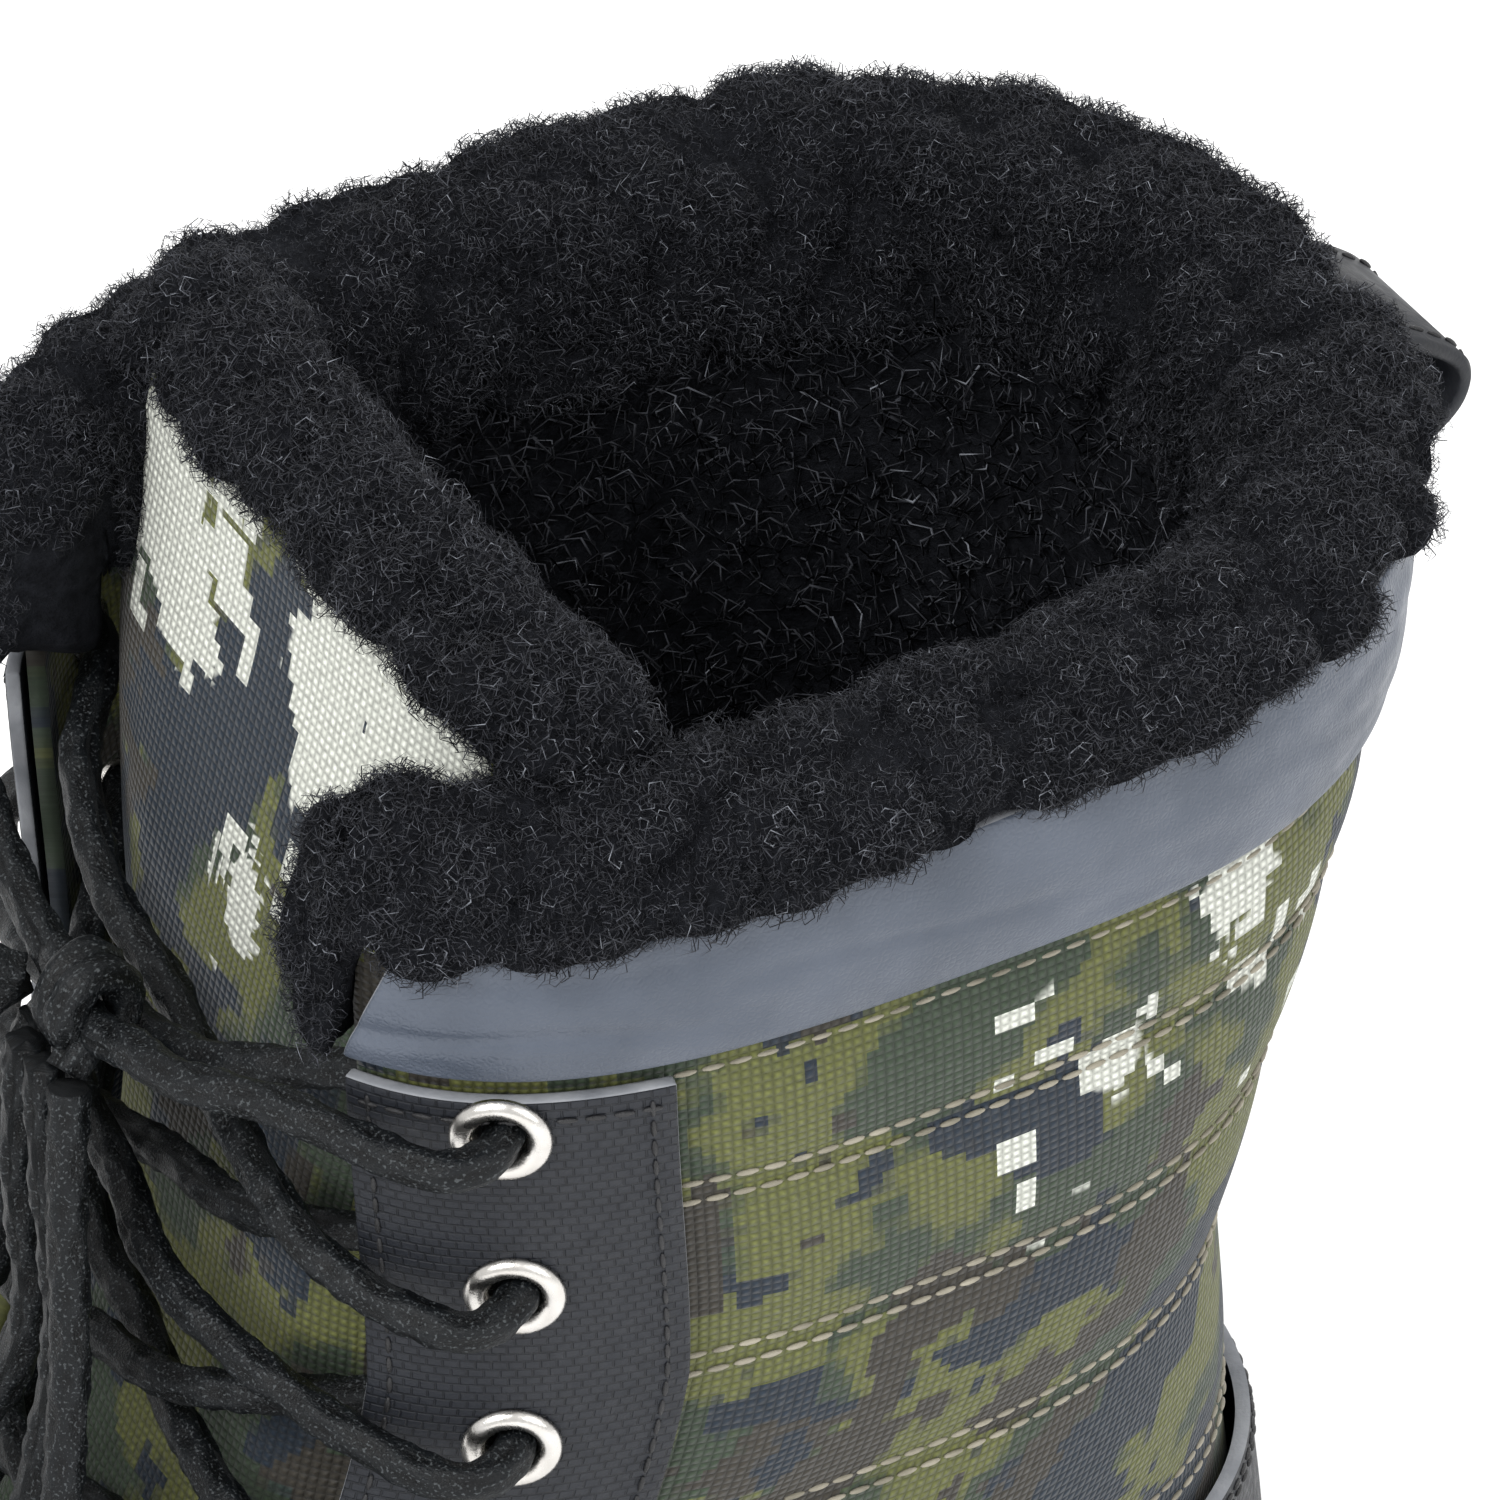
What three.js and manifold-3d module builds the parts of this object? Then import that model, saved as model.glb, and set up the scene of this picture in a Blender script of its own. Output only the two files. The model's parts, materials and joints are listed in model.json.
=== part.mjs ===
// A left-foot insulated lace-up hunting boot, as separate pieces in their real places.
// Millimetres. +Z is up, the toe points to -Y, and +X is the wearer's left (the outer side of the foot).
// The origin is on the ground, under the middle of the leg opening.
import * as THREE from 'three';
import { mergeVertices } from 'three/addons/utils/BufferGeometryUtils.js';
import Module from 'manifold-3d';

const wasm = await Module();
wasm.setup();

// ---- driving sizes -------------------------------------------------------------------------
const GAP = 0.3; // air between neighbouring pieces
const LIFT = 0.7; // the same between curved layers that follow each other
const CLOTH = 1.8; // camouflage canvas with its backing
const OVERLAY = 1.6; // leather pieces sewn over the canvas
const STIFFENER = 1.2; // toe puff and heel counter board
const WADDING = 4; // insulation
const PILE = 4.2; // fleece lining
const BAND_TOP = 219; // collar band, top edge height
const BAND_BOTTOM = 203;
const FACING_TOP = 200.5;
const FACING_WIDTH = 30;
const THROAT_HALF = 34; // half the gap between the facings at the top
const THROAT_HALF_LOW = 21; // the same at the foot of the throat
const EYELET_COUNT = 7;
const EYELET_PITCH = 20.2;
const EYELET_FROM_TOP = 4.2;
const EYELET_RADIUS = 4.9;
const EYELET_HOLE = 3.3; // its hole's radius
const EYELET_RISE = 0.9; // how far its rim stands off the facing
const EYELET_IN_FROM_EDGE = 14; // eyelet centre to the facing's front edge
const LACE = 3.6; // lace diameter
const COLLAR_TOP = 233;
const FOLD_HEIGHT = 212; // where the tongue's free top folds
const SHAFT_TOP = 221;

// ---- the boot's outer surface --------------------------------------------------------------
// Each section is a closed ring from the boot's front line round to its back or under line.
// front and back are [y, z]; half is half the width, shift moves the ring sideways, and
// blunt says how square its corners are, in front and behind.
const SECTIONS = [
  { front: [-50, 236], back: [79.5, 236], half: 52, shift: 0, blunt: [3.5, 2.3] }, // cuff
  { front: [-49, 196], back: [76.5, 196], half: 51.5, shift: 0, blunt: [3.5, 2.3] },
  { front: [-50, 162], back: [69, 162], half: 48.5, shift: 0, blunt: [3.3, 2.3] }, // calf
  { front: [-56.5, 137], back: [64, 134], half: 46, shift: 0, blunt: [3, 2.3] }, // ankle
  { front: [-67, 119], back: [67, 106], half: 44, shift: 0, blunt: [2.8, 2.3] },
  { front: [-82, 106], back: [71, 78], half: 42, shift: 0, blunt: [2.6, 2.4] }, // heel
  { front: [-97, 97], back: [73, 50], half: 40, shift: 0, blunt: [2.5, 2.5] },
  { front: [-112, 90], back: [62, 17], half: 40, shift: 0, blunt: [2.4, 2.6] }, // instep
  { front: [-127, 83], back: [2, 10], half: 42, shift: 0, blunt: [2.3, 2.7] },
  { front: [-147, 75], back: [-58, 10], half: 46, shift: 1, blunt: [2.3, 2.8] },
  { front: [-169, 67], back: [-115, 8], half: 49, shift: 1, blunt: [2.3, 2.9] }, // ball
  { front: [-192, 59], back: [-166, 10], half: 47, shift: -1, blunt: [2.3, 2.9] },
  { front: [-211, 50], back: [-199, 14], half: 37, shift: -4, blunt: [2.3, 2.7] },
  { front: [-223, 39], back: [-218, 20], half: 20, shift: -6, blunt: [2.2, 2.3] },
  { front: [-226, 29], back: [-226, 29], half: 0, shift: -7, blunt: [2, 2] }, // toe tip
];
const TIP = SECTIONS.length - 1;
const THROAT_FOOT = 7.1; // section number at the foot of the throat
const VAMP_START = 7.6; // section number of the seam between the quarters and the vamp

const lineThrough = (pick) => new THREE.CatmullRomCurve3(
  SECTIONS.map((section) => new THREE.Vector3(...pick(section))), false, 'catmullrom', 0.5);
const frontLine = lineThrough((section) => [0, ...section.front]);
const backLine = lineThrough((section) => [0, ...section.back]);
const spreadLine = lineThrough((section) => [section.half, section.shift, 0]);
const bluntLine = lineThrough((section) => [...section.blunt, 0]);

function bareSurface(section, angle) {
  const t = Math.min(Math.max(section / TIP, 0), 1);
  const front = frontLine.getPoint(t);
  const back = backLine.getPoint(t);
  const spread = spreadLine.getPoint(t);
  const blunt = bluntLine.getPoint(t);
  const c = Math.cos(angle);
  const k = Math.sin(angle);
  const power = blunt.y + (blunt.x - blunt.y) * (1 + c) / 2;
  const reach = (Math.abs(c) ** power + Math.abs(k) ** power) ** (-1 / power);
  const point = front.clone().add(back).multiplyScalar(0.5);
  point.addScaledVector(front.clone().sub(back), 0.5 * reach * c);
  point.x = spread.y + spread.x * reach * k;
  return point;
}

// The outward direction of the surface.
function outward(section, angle) {
  const step = 0.02;
  if (section > TIP - step) return new THREE.Vector3(0, -1, 0);
  const across = bareSurface(section, angle + step).sub(bareSurface(section, angle - step));
  const along = bareSurface(section + step, angle).sub(bareSurface(section - step, angle));
  return along.cross(across).normalize();
}

function surface(section, angle, inset = 0) {
  return bareSurface(section, angle).addScaledVector(outward(section, angle), -inset);
}

// The section number whose front line is at this height or at this distance along the line.
function sectionAtHeight(height) {
  let low = 0;
  let high = THROAT_FOOT;
  for (let i = 0; i < 40; i += 1) {
    const middle = (low + high) / 2;
    if (frontLine.getPoint(middle / TIP).z > height) low = middle;
    else high = middle;
  }
  return low;
}

function sectionBelow(start, distance) {
  let section = start;
  let left = distance;
  const step = 0.01;
  while (left > 0 && section < TIP) {
    left -= frontLine.getPoint(section / TIP).distanceTo(frontLine.getPoint((section + step) / TIP));
    section += step;
  }
  return section;
}

// The angle at which a section is this far from the middle, in front.
function angleAcross(section, distance) {
  let low = 0;
  let high = Math.PI / 2;
  for (let i = 0; i < 40; i += 1) {
    const middle = (low + high) / 2;
    if (bareSurface(section, middle).x < distance) low = middle;
    else high = middle;
  }
  return low;
}

// The angle reached from another one by going round the section for a distance.
function angleRound(section, start, distance) {
  let angle = start;
  let left = distance;
  const step = 0.005;
  while (left > 0 && angle < Math.PI) {
    left -= bareSurface(section, angle).distanceTo(bareSurface(section, angle + step));
    angle += step;
  }
  return angle;
}

const sectionTop = sectionAtHeight(FACING_TOP);
function throatHalf(section) {
  const t = Math.min(Math.max((section - 2) / (THROAT_FOOT - 2), 0), 1);
  return THROAT_HALF + (THROAT_HALF_LOW - THROAT_HALF) * t;
}
const throatAngle = (section) => angleAcross(section, throatHalf(section));
const facingEnd = (section) => angleRound(section, throatAngle(section), FACING_WIDTH);

// ---- solids --------------------------------------------------------------------------------
// A closed mesh from triangles given as points, without slivers, its faces pointing out.
function closedGeometry(triangles) {
  const points = triangles.flat().flatMap((point) => [point.x, point.y, point.z]);
  const raw = new THREE.BufferGeometry();
  raw.setAttribute('position', new THREE.Float32BufferAttribute(points, 3));
  const merged = mergeVertices(raw, 1e-3);
  const index = merged.index.array;
  const position = merged.getAttribute('position');
  const corner = (i) => new THREE.Vector3().fromBufferAttribute(position, i);
  const kept = [];
  let volume = 0;
  for (let i = 0; i < index.length; i += 3) {
    const [a, b, c] = [index[i], index[i + 1], index[i + 2]];
    if (a !== b && b !== c && a !== c) {
      kept.push(a, b, c);
      volume += corner(a).dot(corner(b).cross(corner(c)));
    }
  }
  merged.setIndex(volume < 0 ? kept.reverse() : kept);
  return merged;
}

// A sheet that follows the boot's surface between two insets. Its side edges are angles, or
// functions that give an angle for each section. With wrap, it closes all the way round.
function sheet({ from, to, rows, start, end, cols, outer, inner, wrap = false, move = (point) => point }) {
  const value = (given, ...where) => (typeof given === 'function' ? given(...where) : given);
  const grid = (inset, face) => Array.from({ length: rows + 1 }, (_, i) => {
    const section = from + (to - from) * i / rows;
    const first = value(start, section);
    const last = value(end, section);
    return Array.from({ length: cols + 1 }, (__, j) => {
      const angle = first + (last - first) * (wrap && j === cols ? 0 : j) / cols;
      return move(surface(section, angle, value(inset, section, angle)), face);
    });
  });
  const out = grid(outer, 0);
  const back = grid(inner, 1);
  const triangles = [];
  const quad = (a, b, c, d) => triangles.push([a, b, c], [a, c, d]);
  for (let i = 0; i < rows; i += 1) {
    for (let j = 0; j < cols; j += 1) {
      quad(out[i][j], out[i][j + 1], out[i + 1][j + 1], out[i + 1][j]);
      quad(back[i][j], back[i + 1][j], back[i + 1][j + 1], back[i][j + 1]);
    }
    if (!wrap) {
      quad(out[i][0], out[i + 1][0], back[i + 1][0], back[i][0]);
      quad(out[i][cols], back[i][cols], back[i + 1][cols], out[i + 1][cols]);
    }
  }
  for (let j = 0; j < cols; j += 1) {
    quad(out[0][j], back[0][j], back[0][j + 1], out[0][j + 1]);
    if (to < TIP) quad(out[rows][j], out[rows][j + 1], back[rows][j + 1], back[rows][j]);
  }
  return closedGeometry(triangles);
}

// A solid skinned over copies of one outline, with a flat face at each end.
function skinned(rings, outline) {
  const flat = outline.map(([a, b]) => new THREE.Vector2(a, b));
  const turned = THREE.ShapeUtils.isClockWise(flat);
  const last = rings.length - 1;
  const triangles = [];
  for (const face of THREE.ShapeUtils.triangulateShape(flat, [])) {
    const [a, b, c] = turned ? [...face].reverse() : face;
    triangles.push([rings[0][a], rings[0][b], rings[0][c]]);
    triangles.push([rings[last][a], rings[last][c], rings[last][b]]);
  }
  for (let i = 0; i < last; i += 1) {
    outline.forEach((_, j) => {
      const next = (j + 1) % outline.length;
      triangles.push([rings[i][j], rings[i + 1][j], rings[i + 1][next]]);
      triangles.push([rings[i][j], rings[i + 1][next], rings[i][next]]);
    });
  }
  return closedGeometry(triangles);
}

function toSolid(geometry) {
  const bare = geometry.clone();
  bare.deleteAttribute('normal');
  bare.deleteAttribute('uv');
  const merged = mergeVertices(bare, 1e-4);
  const vertProperties = new Float32Array(merged.getAttribute('position').array);
  const triVerts = new Uint32Array(merged.index.array);
  return new wasm.Manifold(new wasm.Mesh({ numProp: 3, vertProperties, triVerts }));
}

function fromSolid(solid) {
  const mesh = solid.getMesh();
  const geometry = new THREE.BufferGeometry();
  geometry.setAttribute('position', new THREE.BufferAttribute(new Float32Array(mesh.vertProperties), 3));
  geometry.setIndex([...mesh.triVerts]);
  return geometry;
}

function cut(geometry, ...tools) {
  return fromSolid(tools.reduce((solid, tool) => solid.subtract(toSolid(tool)), toSolid(geometry)));
}

function common(geometry, other) {
  return fromSolid(toSolid(geometry).intersect(toSolid(other)));
}

// A flat outline in the Y-Z plane, stretched along X and centred on it.
function sideSlab(outline, width) {
  const shape = new THREE.Shape(outline.map(([y, z]) => new THREE.Vector2(y, z)));
  const slab = new THREE.ExtrudeGeometry(shape, { depth: width, bevelEnabled: false, steps: 1 });
  slab.translate(0, 0, -width / 2);
  slab.applyMatrix4(new THREE.Matrix4().set(0, 0, 1, 0, 1, 0, 0, 0, 0, 1, 0, 0, 0, 0, 0, 1));
  return slab;
}

// A round-section tube along a smooth line.
function tube(points, diameter, steps) {
  const path = new THREE.CatmullRomCurve3(points, false, 'centripetal');
  const sides = 8;
  const outline = Array.from({ length: sides }, (_, i) => new THREE.Vector2(
    Math.cos(2 * Math.PI * i / sides), Math.sin(2 * Math.PI * i / sides)).multiplyScalar(diameter / 2));
  return new THREE.ExtrudeGeometry(new THREE.Shape(outline), {
    steps, extrudePath: path, bevelEnabled: false,
  });
}

// ---- the sole's outlines -------------------------------------------------------------------
const smooth = (points, count) => new THREE.SplineCurve(points.map(([a, b]) => new THREE.Vector2(a, b)))
  .getPoints(count).map((point) => [point.x, point.y]);
const SOLE_TOP = smooth(
  [[92, 38], [10, 38], [-50, 33], [-105, 28], [-165, 27], [-205, 30], [-240, 36]], 14,
);
const TREAD = [[83, 7], [77, 0], [-10, 0], [-14, 9], [-66, 8], [-72, 0], [-178, 0], [-205, 5], [-234, 17]];
const MIDSOLE_THICKNESS = 14;
const raised = (line, amount) => line.map(([y, z]) => [y, z + amount]);
const between = (lower, upper) => [...lower, ...[...upper].reverse()];
// The ground outline: the outer side of the foot, then the toe, then the inner side.
const OUTLINE = [
  [0, 80], [24, 74], [38, 48], [41, 5], [43, -45], [48, -95], [54, -130], [54, -165], [44, -200],
  [24, -224], [-6, -232], [-34, -220], [-49, -192], [-52, -150], [-47, -105], [-42, -60], [-40, -10],
  [-38, 48], [-24, 74],
];
function soleBlock(grow, height) {
  const curve = new THREE.CatmullRomCurve3(OUTLINE.map(([x, y]) => new THREE.Vector3(x, y, 0)), true);
  const count = 44;
  const rim = Array.from({ length: count }, (_, i) => {
    const point = curve.getPoint(i / count);
    const way = curve.getTangent(i / count);
    return new THREE.Vector2(point.x - way.y * grow, point.y + way.x * grow);
  });
  return new THREE.ExtrudeGeometry(new THREE.Shape(rim), { depth: height, bevelEnabled: false, steps: 1 });
}
const underUpper = sideSlab(between([[95, -20], [-250, -20]], raised(SOLE_TOP, GAP)), 160);
const RAND_HEIGHT = 16;
const randBand = sideSlab(between(raised(SOLE_TOP, GAP), raised(SOLE_TOP, RAND_HEIGHT)), 160);
const underRandTop = sideSlab(between([[95, -20], [-250, -20]], raised(SOLE_TOP, RAND_HEIGHT + GAP)), 160);

// ---- materials -----------------------------------------------------------------------------
const looks = {
  canvas: [0x4a5236, 0.85, 0],
  leather: [0x4b5260, 0.45, 0],
  facing: [0x3a3c42, 0.6, 0],
  fleece: [0x1c1d22, 1, 0],
  wadding: [0xcfcdc4, 1, 0],
  board: [0xa9895c, 0.9, 0],
  rubber: [0x1b1b1c, 0.75, 0],
  foam: [0x2a2a2c, 0.9, 0],
  steel: [0x9a9a9c, 0.35, 1],
  nickel: [0xc9c6c2, 0.25, 1],
  lace: [0x121314, 0.55, 0],
};
const boot = new THREE.Group();
function add(name, geometry, look, parent = boot) {
  const [color, roughness, metalness] = looks[look];
  const mesh = new THREE.Mesh(geometry, new THREE.MeshStandardMaterial({ color, roughness, metalness }));
  mesh.name = name;
  parent.add(mesh);
  return mesh;
}

// ---- insets of the layers, outermost first ---------------------------------------------------
const RAND_IN = -1.5;
const RAND_OUT = -3.7;
const CAP_IN = -1.4; // toe cap and heel counter
const CAP_OUT = CAP_IN - OVERLAY;
const STIFF_OUT = CLOTH + LIFT + 0.2;
const WADDING_OUT = STIFF_OUT + STIFFENER + LIFT;
const PILE_OUT = WADDING_OUT + WADDING + GAP;
const PILE_IN = PILE_OUT + PILE;
const BAND_SECTION_TOP = sectionAtHeight(BAND_TOP);
const BAND_SECTION_BOTTOM = sectionAtHeight(BAND_BOTTOM);
const SHAFT_SECTION = sectionAtHeight(SHAFT_TOP);
const roundBack = (angle) => 2 * Math.PI - angle;

// ---- eyelets ---------------------------------------------------------------------------------
const eyelets = [];
for (let i = 0; i < EYELET_COUNT; i += 1) {
  const section = sectionBelow(sectionTop, EYELET_FROM_TOP + i * EYELET_PITCH);
  const angle = angleRound(section, throatAngle(section), EYELET_IN_FROM_EDGE);
  eyelets.push({ section, angle });
}
// The eyelet's own directions: out of the leather, and round towards the throat.
function eyeletFrame({ section, angle }, side) {
  const centre = surface(section, angle * side);
  const out = outward(section, angle * side);
  const inwards = surface(section, (angle - 0.05) * side).sub(centre).normalize();
  return { centre, out, inwards };
}
function placed(geometry, eyelet, side) {
  const { centre, out } = eyeletFrame(eyelet, side);
  const turn = new THREE.Quaternion().setFromUnitVectors(new THREE.Vector3(0, 1, 0), out);
  geometry.applyQuaternion(turn);
  geometry.translate(centre.x, centre.y, centre.z);
  return geometry;
}
function eyeletShape() {
  const face = OVERLAY + LIFT + GAP;
  const inside = -CLOTH - GAP;
  const wall = EYELET_HOLE + 0.6;
  const profile = [
    [EYELET_HOLE, inside], [wall, inside], [wall, face], [EYELET_RADIUS, face],
    [EYELET_RADIUS - 0.8, face + EYELET_RISE], [EYELET_HOLE + 0.3, face + EYELET_RISE],
    [EYELET_HOLE, inside],
  ].map(([radius, height]) => new THREE.Vector2(radius, height));
  return new THREE.LatheGeometry(profile, 10);
}
const punch = () => new THREE.CylinderGeometry(EYELET_HOLE + 0.6 + GAP, EYELET_HOLE + 0.6 + GAP, 14, 8);

// ---- canvas quarters, vamp and the leather over them ------------------------------------------
for (const [name, side] of [['lateral', 1], ['medial', -1]]) {
  const round = (angle) => (side > 0 ? angle : roundBack(angle));
  const punches = eyelets.map((eyelet) => placed(punch(), eyelet, side));
  const quarter = sheet({
    from: SHAFT_SECTION, to: VAMP_START - 0.02, rows: 13, cols: 12, outer: 0, inner: CLOTH,
    start: (s) => round(s < THROAT_FOOT ? throatAngle(s) : 0.02), end: Math.PI - 0.006 * side,
  });
  add(`quarter_${name}`, cut(quarter, underUpper, ...punches), 'canvas');
  const facing = sheet({
    from: sectionTop, to: THROAT_FOOT, rows: 9, cols: 4, outer: -LIFT - OVERLAY, inner: -LIFT,
    start: (s) => round(throatAngle(s)), end: (s) => round(facingEnd(s)),
  });
  add(`eyelet_facing_${name}`, cut(facing, ...punches), 'facing');
  eyelets.forEach((eyelet, i) => {
    add(`eyelet_${name}_${i + 1}`, placed(eyeletShape(), eyelet, side), 'nickel');
  });
}
const vamp = sheet({
  from: VAMP_START + 0.02, to: TIP, rows: 12, cols: 22, wrap: true, start: 0, end: 2 * Math.PI,
  outer: 0, inner: CLOTH,
});
add('vamp', cut(vamp, underUpper), 'facing');
const TOE_CAP_START = 11.1;
const toeCap = sheet({
  from: TOE_CAP_START, to: TIP, rows: 6, cols: 20, wrap: true, start: 0, end: 2 * Math.PI,
  outer: CAP_OUT, inner: CAP_IN,
});
add('toe_cap', cut(toeCap, underRandTop), 'facing');
const puff = sheet({
  from: TOE_CAP_START, to: TIP, rows: 6, cols: 20, wrap: true, start: 0, end: 2 * Math.PI,
  outer: STIFF_OUT, inner: STIFF_OUT + STIFFENER,
});
add('toe_puff', cut(puff, underUpper), 'board');
const HEEL_HALF = 1.25; // how far it reaches round from the back seam, in radians
const heel = {
  from: 4.3, to: VAMP_START - 0.3, rows: 8, cols: 10, start: Math.PI - HEEL_HALF, end: Math.PI + HEEL_HALF,
};
const heelOuter = sheet({ ...heel, outer: CAP_OUT, inner: CAP_IN });
add('heel_counter', cut(heelOuter, underRandTop), 'facing');
const heelStiff = sheet({ ...heel, outer: STIFF_OUT, inner: STIFF_OUT + STIFFENER });
add('heel_stiffener', cut(heelStiff, underUpper), 'board');
const BACKSTAY_HALF = 0.16;
add('backstay', sheet({
  from: sectionAtHeight(BAND_BOTTOM - 1), to: 4.25, rows: 6, cols: 2,
  start: Math.PI - BACKSTAY_HALF, end: Math.PI + BACKSTAY_HALF,
  outer: -LIFT - OVERLAY, inner: -LIFT,
}), 'facing');
const bandAngle = (s) => angleAcross(s, THROAT_HALF);
add('collar_band', sheet({
  from: BAND_SECTION_TOP, to: BAND_SECTION_BOTTOM, rows: 2, cols: 26, outer: -LIFT - OVERLAY, inner: -LIFT,
  start: bandAngle, end: (s) => roundBack(bandAngle(s)),
}), 'leather');

// ---- insulation and fleece lining --------------------------------------------------------------
const liningAngle = (s) => (s < THROAT_FOOT ? facingEnd(s) * 0.97 : 0.9);
const LININGS = [
  ['insulation', 'wadding', WADDING_OUT, WADDING_OUT + WADDING],
  ['fleece_lining', 'fleece', PILE_OUT, PILE_IN],
];
for (const [name, look, outer, inner] of LININGS) {
  const leg = sheet({
    from: SHAFT_SECTION, to: VAMP_START - 0.03, rows: 9, cols: 16, outer, inner,
    start: liningAngle, end: (s) => roundBack(liningAngle(s)),
  });
  add(`${name}_shaft`, cut(leg, underUpper), look);
  const foot = sheet({
    from: VAMP_START + 0.03, to: TIP, rows: 7, cols: 16, wrap: true, start: 0, end: 2 * Math.PI,
    outer, inner,
  });
  add(`${name}_foot`, cut(foot, underUpper), look);
}

// ---- the fleece roll round the leg opening -------------------------------------------------------
// Its section goes over the top of the shaft, from the band's face to the lining.
function collarRoll() {
  const profile = [
    [-2.8, -4.4], [-3.4, -1], [-2.4, 3], [1.5, 6.6], [6, 7.6], [10, 5.6], [13.8, 0], [13.5, -1.4],
    [-0.6, -1.4], [-0.6, -4.4],
  ];
  const slimOver = 0.5; // the angle over which its ends thicken
  const count = 34;
  const rings = Array.from({ length: count + 1 }, (_, i) => {
    const t = i / count;
    const first = bandAngle(sectionTop) + 0.06;
    const angle = first + (2 * Math.PI - 2 * first) * t;
    const fromEnd = Math.min(angle, 2 * Math.PI - angle) - first;
    const slim = Math.min(0.62 + 0.38 * fromEnd / slimOver, 1);
    return profile.map(([inset, rise]) => {
      const depth = inset > 0 ? inset * slim : inset;
      const point = surface(sectionAtHeight(SHAFT_TOP + 3), angle, depth);
      point.z = COLLAR_TOP - 9 + rise;
      return point;
    });
  });
  return skinned(rings, profile);
}
add('collar_fleece', collarRoll(), 'fleece');

// ---- the tongue -----------------------------------------------------------------------------------
// Its edges tuck in behind the facings, with room for the lace between.
const TONGUE_INSET = 6;
const EDGE_INSET = 8.3;
const COVER = 1.2;
const FOAM = 5;
const TONGUE_PILE = 4.5;
const LEAN_FROM = 158; // between these heights the tongue draws back from the facings
const LEAN_TO = 226;
const TONGUE_TOP_HALF = 35;
const TONGUE_TOP_Y = -31; // its face at the top edge
const TONGUE_SLOPE = 0.16;
const TONGUE_TOP = 232;
const lean = (z) => THREE.MathUtils.smoothstep(z, LEAN_FROM, LEAN_TO);
const tongueHalf = (s) => {
  const half = throatHalf(s) + 8.5;
  const t = THREE.MathUtils.clamp((bareSurface(s, 0).z - LEAN_FROM) / (SHAFT_TOP - 20 - LEAN_FROM), 0, 1);
  return half + (TONGUE_TOP_HALF - half) * t;
};
// Draws a layer's point back to the straight, leaning top of the tongue.
function leaned(point, depth) {
  const across = Math.min(Math.abs(point.x) / TONGUE_TOP_HALF, 1.1);
  const straight = TONGUE_TOP_Y - TONGUE_SLOPE * (TONGUE_TOP - point.z) + depth + 3 * across ** 4;
  point.y += (straight - point.y) * lean(point.z);
  return point;
}
const tongueAngle = (s) => angleAcross(s, tongueHalf(s));
const foldSection = sectionAtHeight(FOLD_HEIGHT);
const tongueFace = (s, angle) => {
  const t = Math.abs(bareSurface(s, angle).x) / tongueHalf(s);
  return TONGUE_INSET + (EDGE_INSET - TONGUE_INSET) * Math.min(Math.max((t - 0.45) * 4, 0), 1);
};
const tongueLayers = [
  ['cover', 'canvas', 0, COVER],
  ['padding', 'foam', COVER + GAP, COVER + GAP + FOAM],
  ['fleece', 'fleece', COVER + FOAM + 2 * GAP, COVER + FOAM + TONGUE_PILE + 2 * GAP],
];
const flap = new THREE.Group();
boot.add(flap);
for (const [name, look, outer, inner] of tongueLayers) {
  add(`tongue_${name}`, sheet({
    from: foldSection + 0.03, to: VAMP_START - 0.1, rows: 10, cols: 8,
    start: (s) => -tongueAngle(s), end: tongueAngle,
    outer: (s, a) => tongueFace(s, a) + outer, inner: (s, a) => tongueFace(s, a) + inner,
    move: (point, face) => leaned(point, face === 0 ? outer : inner),
  }), look);
}
// The free top passes between the ends of the collar roll.
const FLAP_TOP = 231;
function flapLayer(outer, inner) {
  return sheet({
    from: sectionAtHeight(FLAP_TOP), to: foldSection - 0.03, rows: 3, cols: 8,
    start: (s) => -tongueAngle(s), end: tongueAngle,
    outer: (s, a) => tongueFace(s, a) + outer, inner: (s, a) => tongueFace(s, a) + inner,
    move: (point, face) => leaned(point, face === 0 ? outer : inner),
  });
}
for (const [name, look, outer, inner] of tongueLayers) {
  add(`tongue_top_${name}`, flapLayer(outer, inner), look, flap);
}
function tongueRoll() {
  const profile = [[0.4, 0.6], [2, 5.4], [6, 7.2], [10.6, 5.4], [12.4, 0.6]];
  const count = 8;
  const rings = Array.from({ length: count + 1 }, (_, i) => profile.map(([depth, rise]) => {
    const across = 2 * i / count - 1;
    const y = TONGUE_TOP_Y + depth + 3 * across ** 4;
    return new THREE.Vector3(TONGUE_TOP_HALF * across, y, FLAP_TOP + rise);
  }));
  return skinned(rings, profile);
}
add('tongue_top_roll', tongueRoll(), 'fleece', flap);

// ---- the lace ---------------------------------------------------------------------------------------
// Through an eyelet the lace turns back on itself, in a half circle this big.
const TURN = 6.7;
const TURN_MIDDLE = -0.7;
const LACE_GAP = 1.5;
const UNDER = TURN_MIDDLE + TURN;
const OVER = TURN_MIDDLE - TURN;
const NEAR_FACING = -(LIFT + OVERLAY + LACE / 2 + 2 * GAP);
function throughEyelet(eyelet, side) {
  const { centre, out, inwards } = eyeletFrame(eyelet, side);
  return [80, 40, 0, -40, -80].map((degrees) => {
    const turned = THREE.MathUtils.degToRad(degrees);
    return centre.clone()
      .addScaledVector(inwards, TURN - 0.6 - TURN * Math.cos(turned))
      .addScaledVector(out, -(TURN_MIDDLE + TURN * Math.sin(turned)));
  });
}
const KNOT = new THREE.Vector3(5, -57.5, 192.5);
const KNOT_SIZE = new THREE.Vector3(7.5, 4, 5.5);
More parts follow.
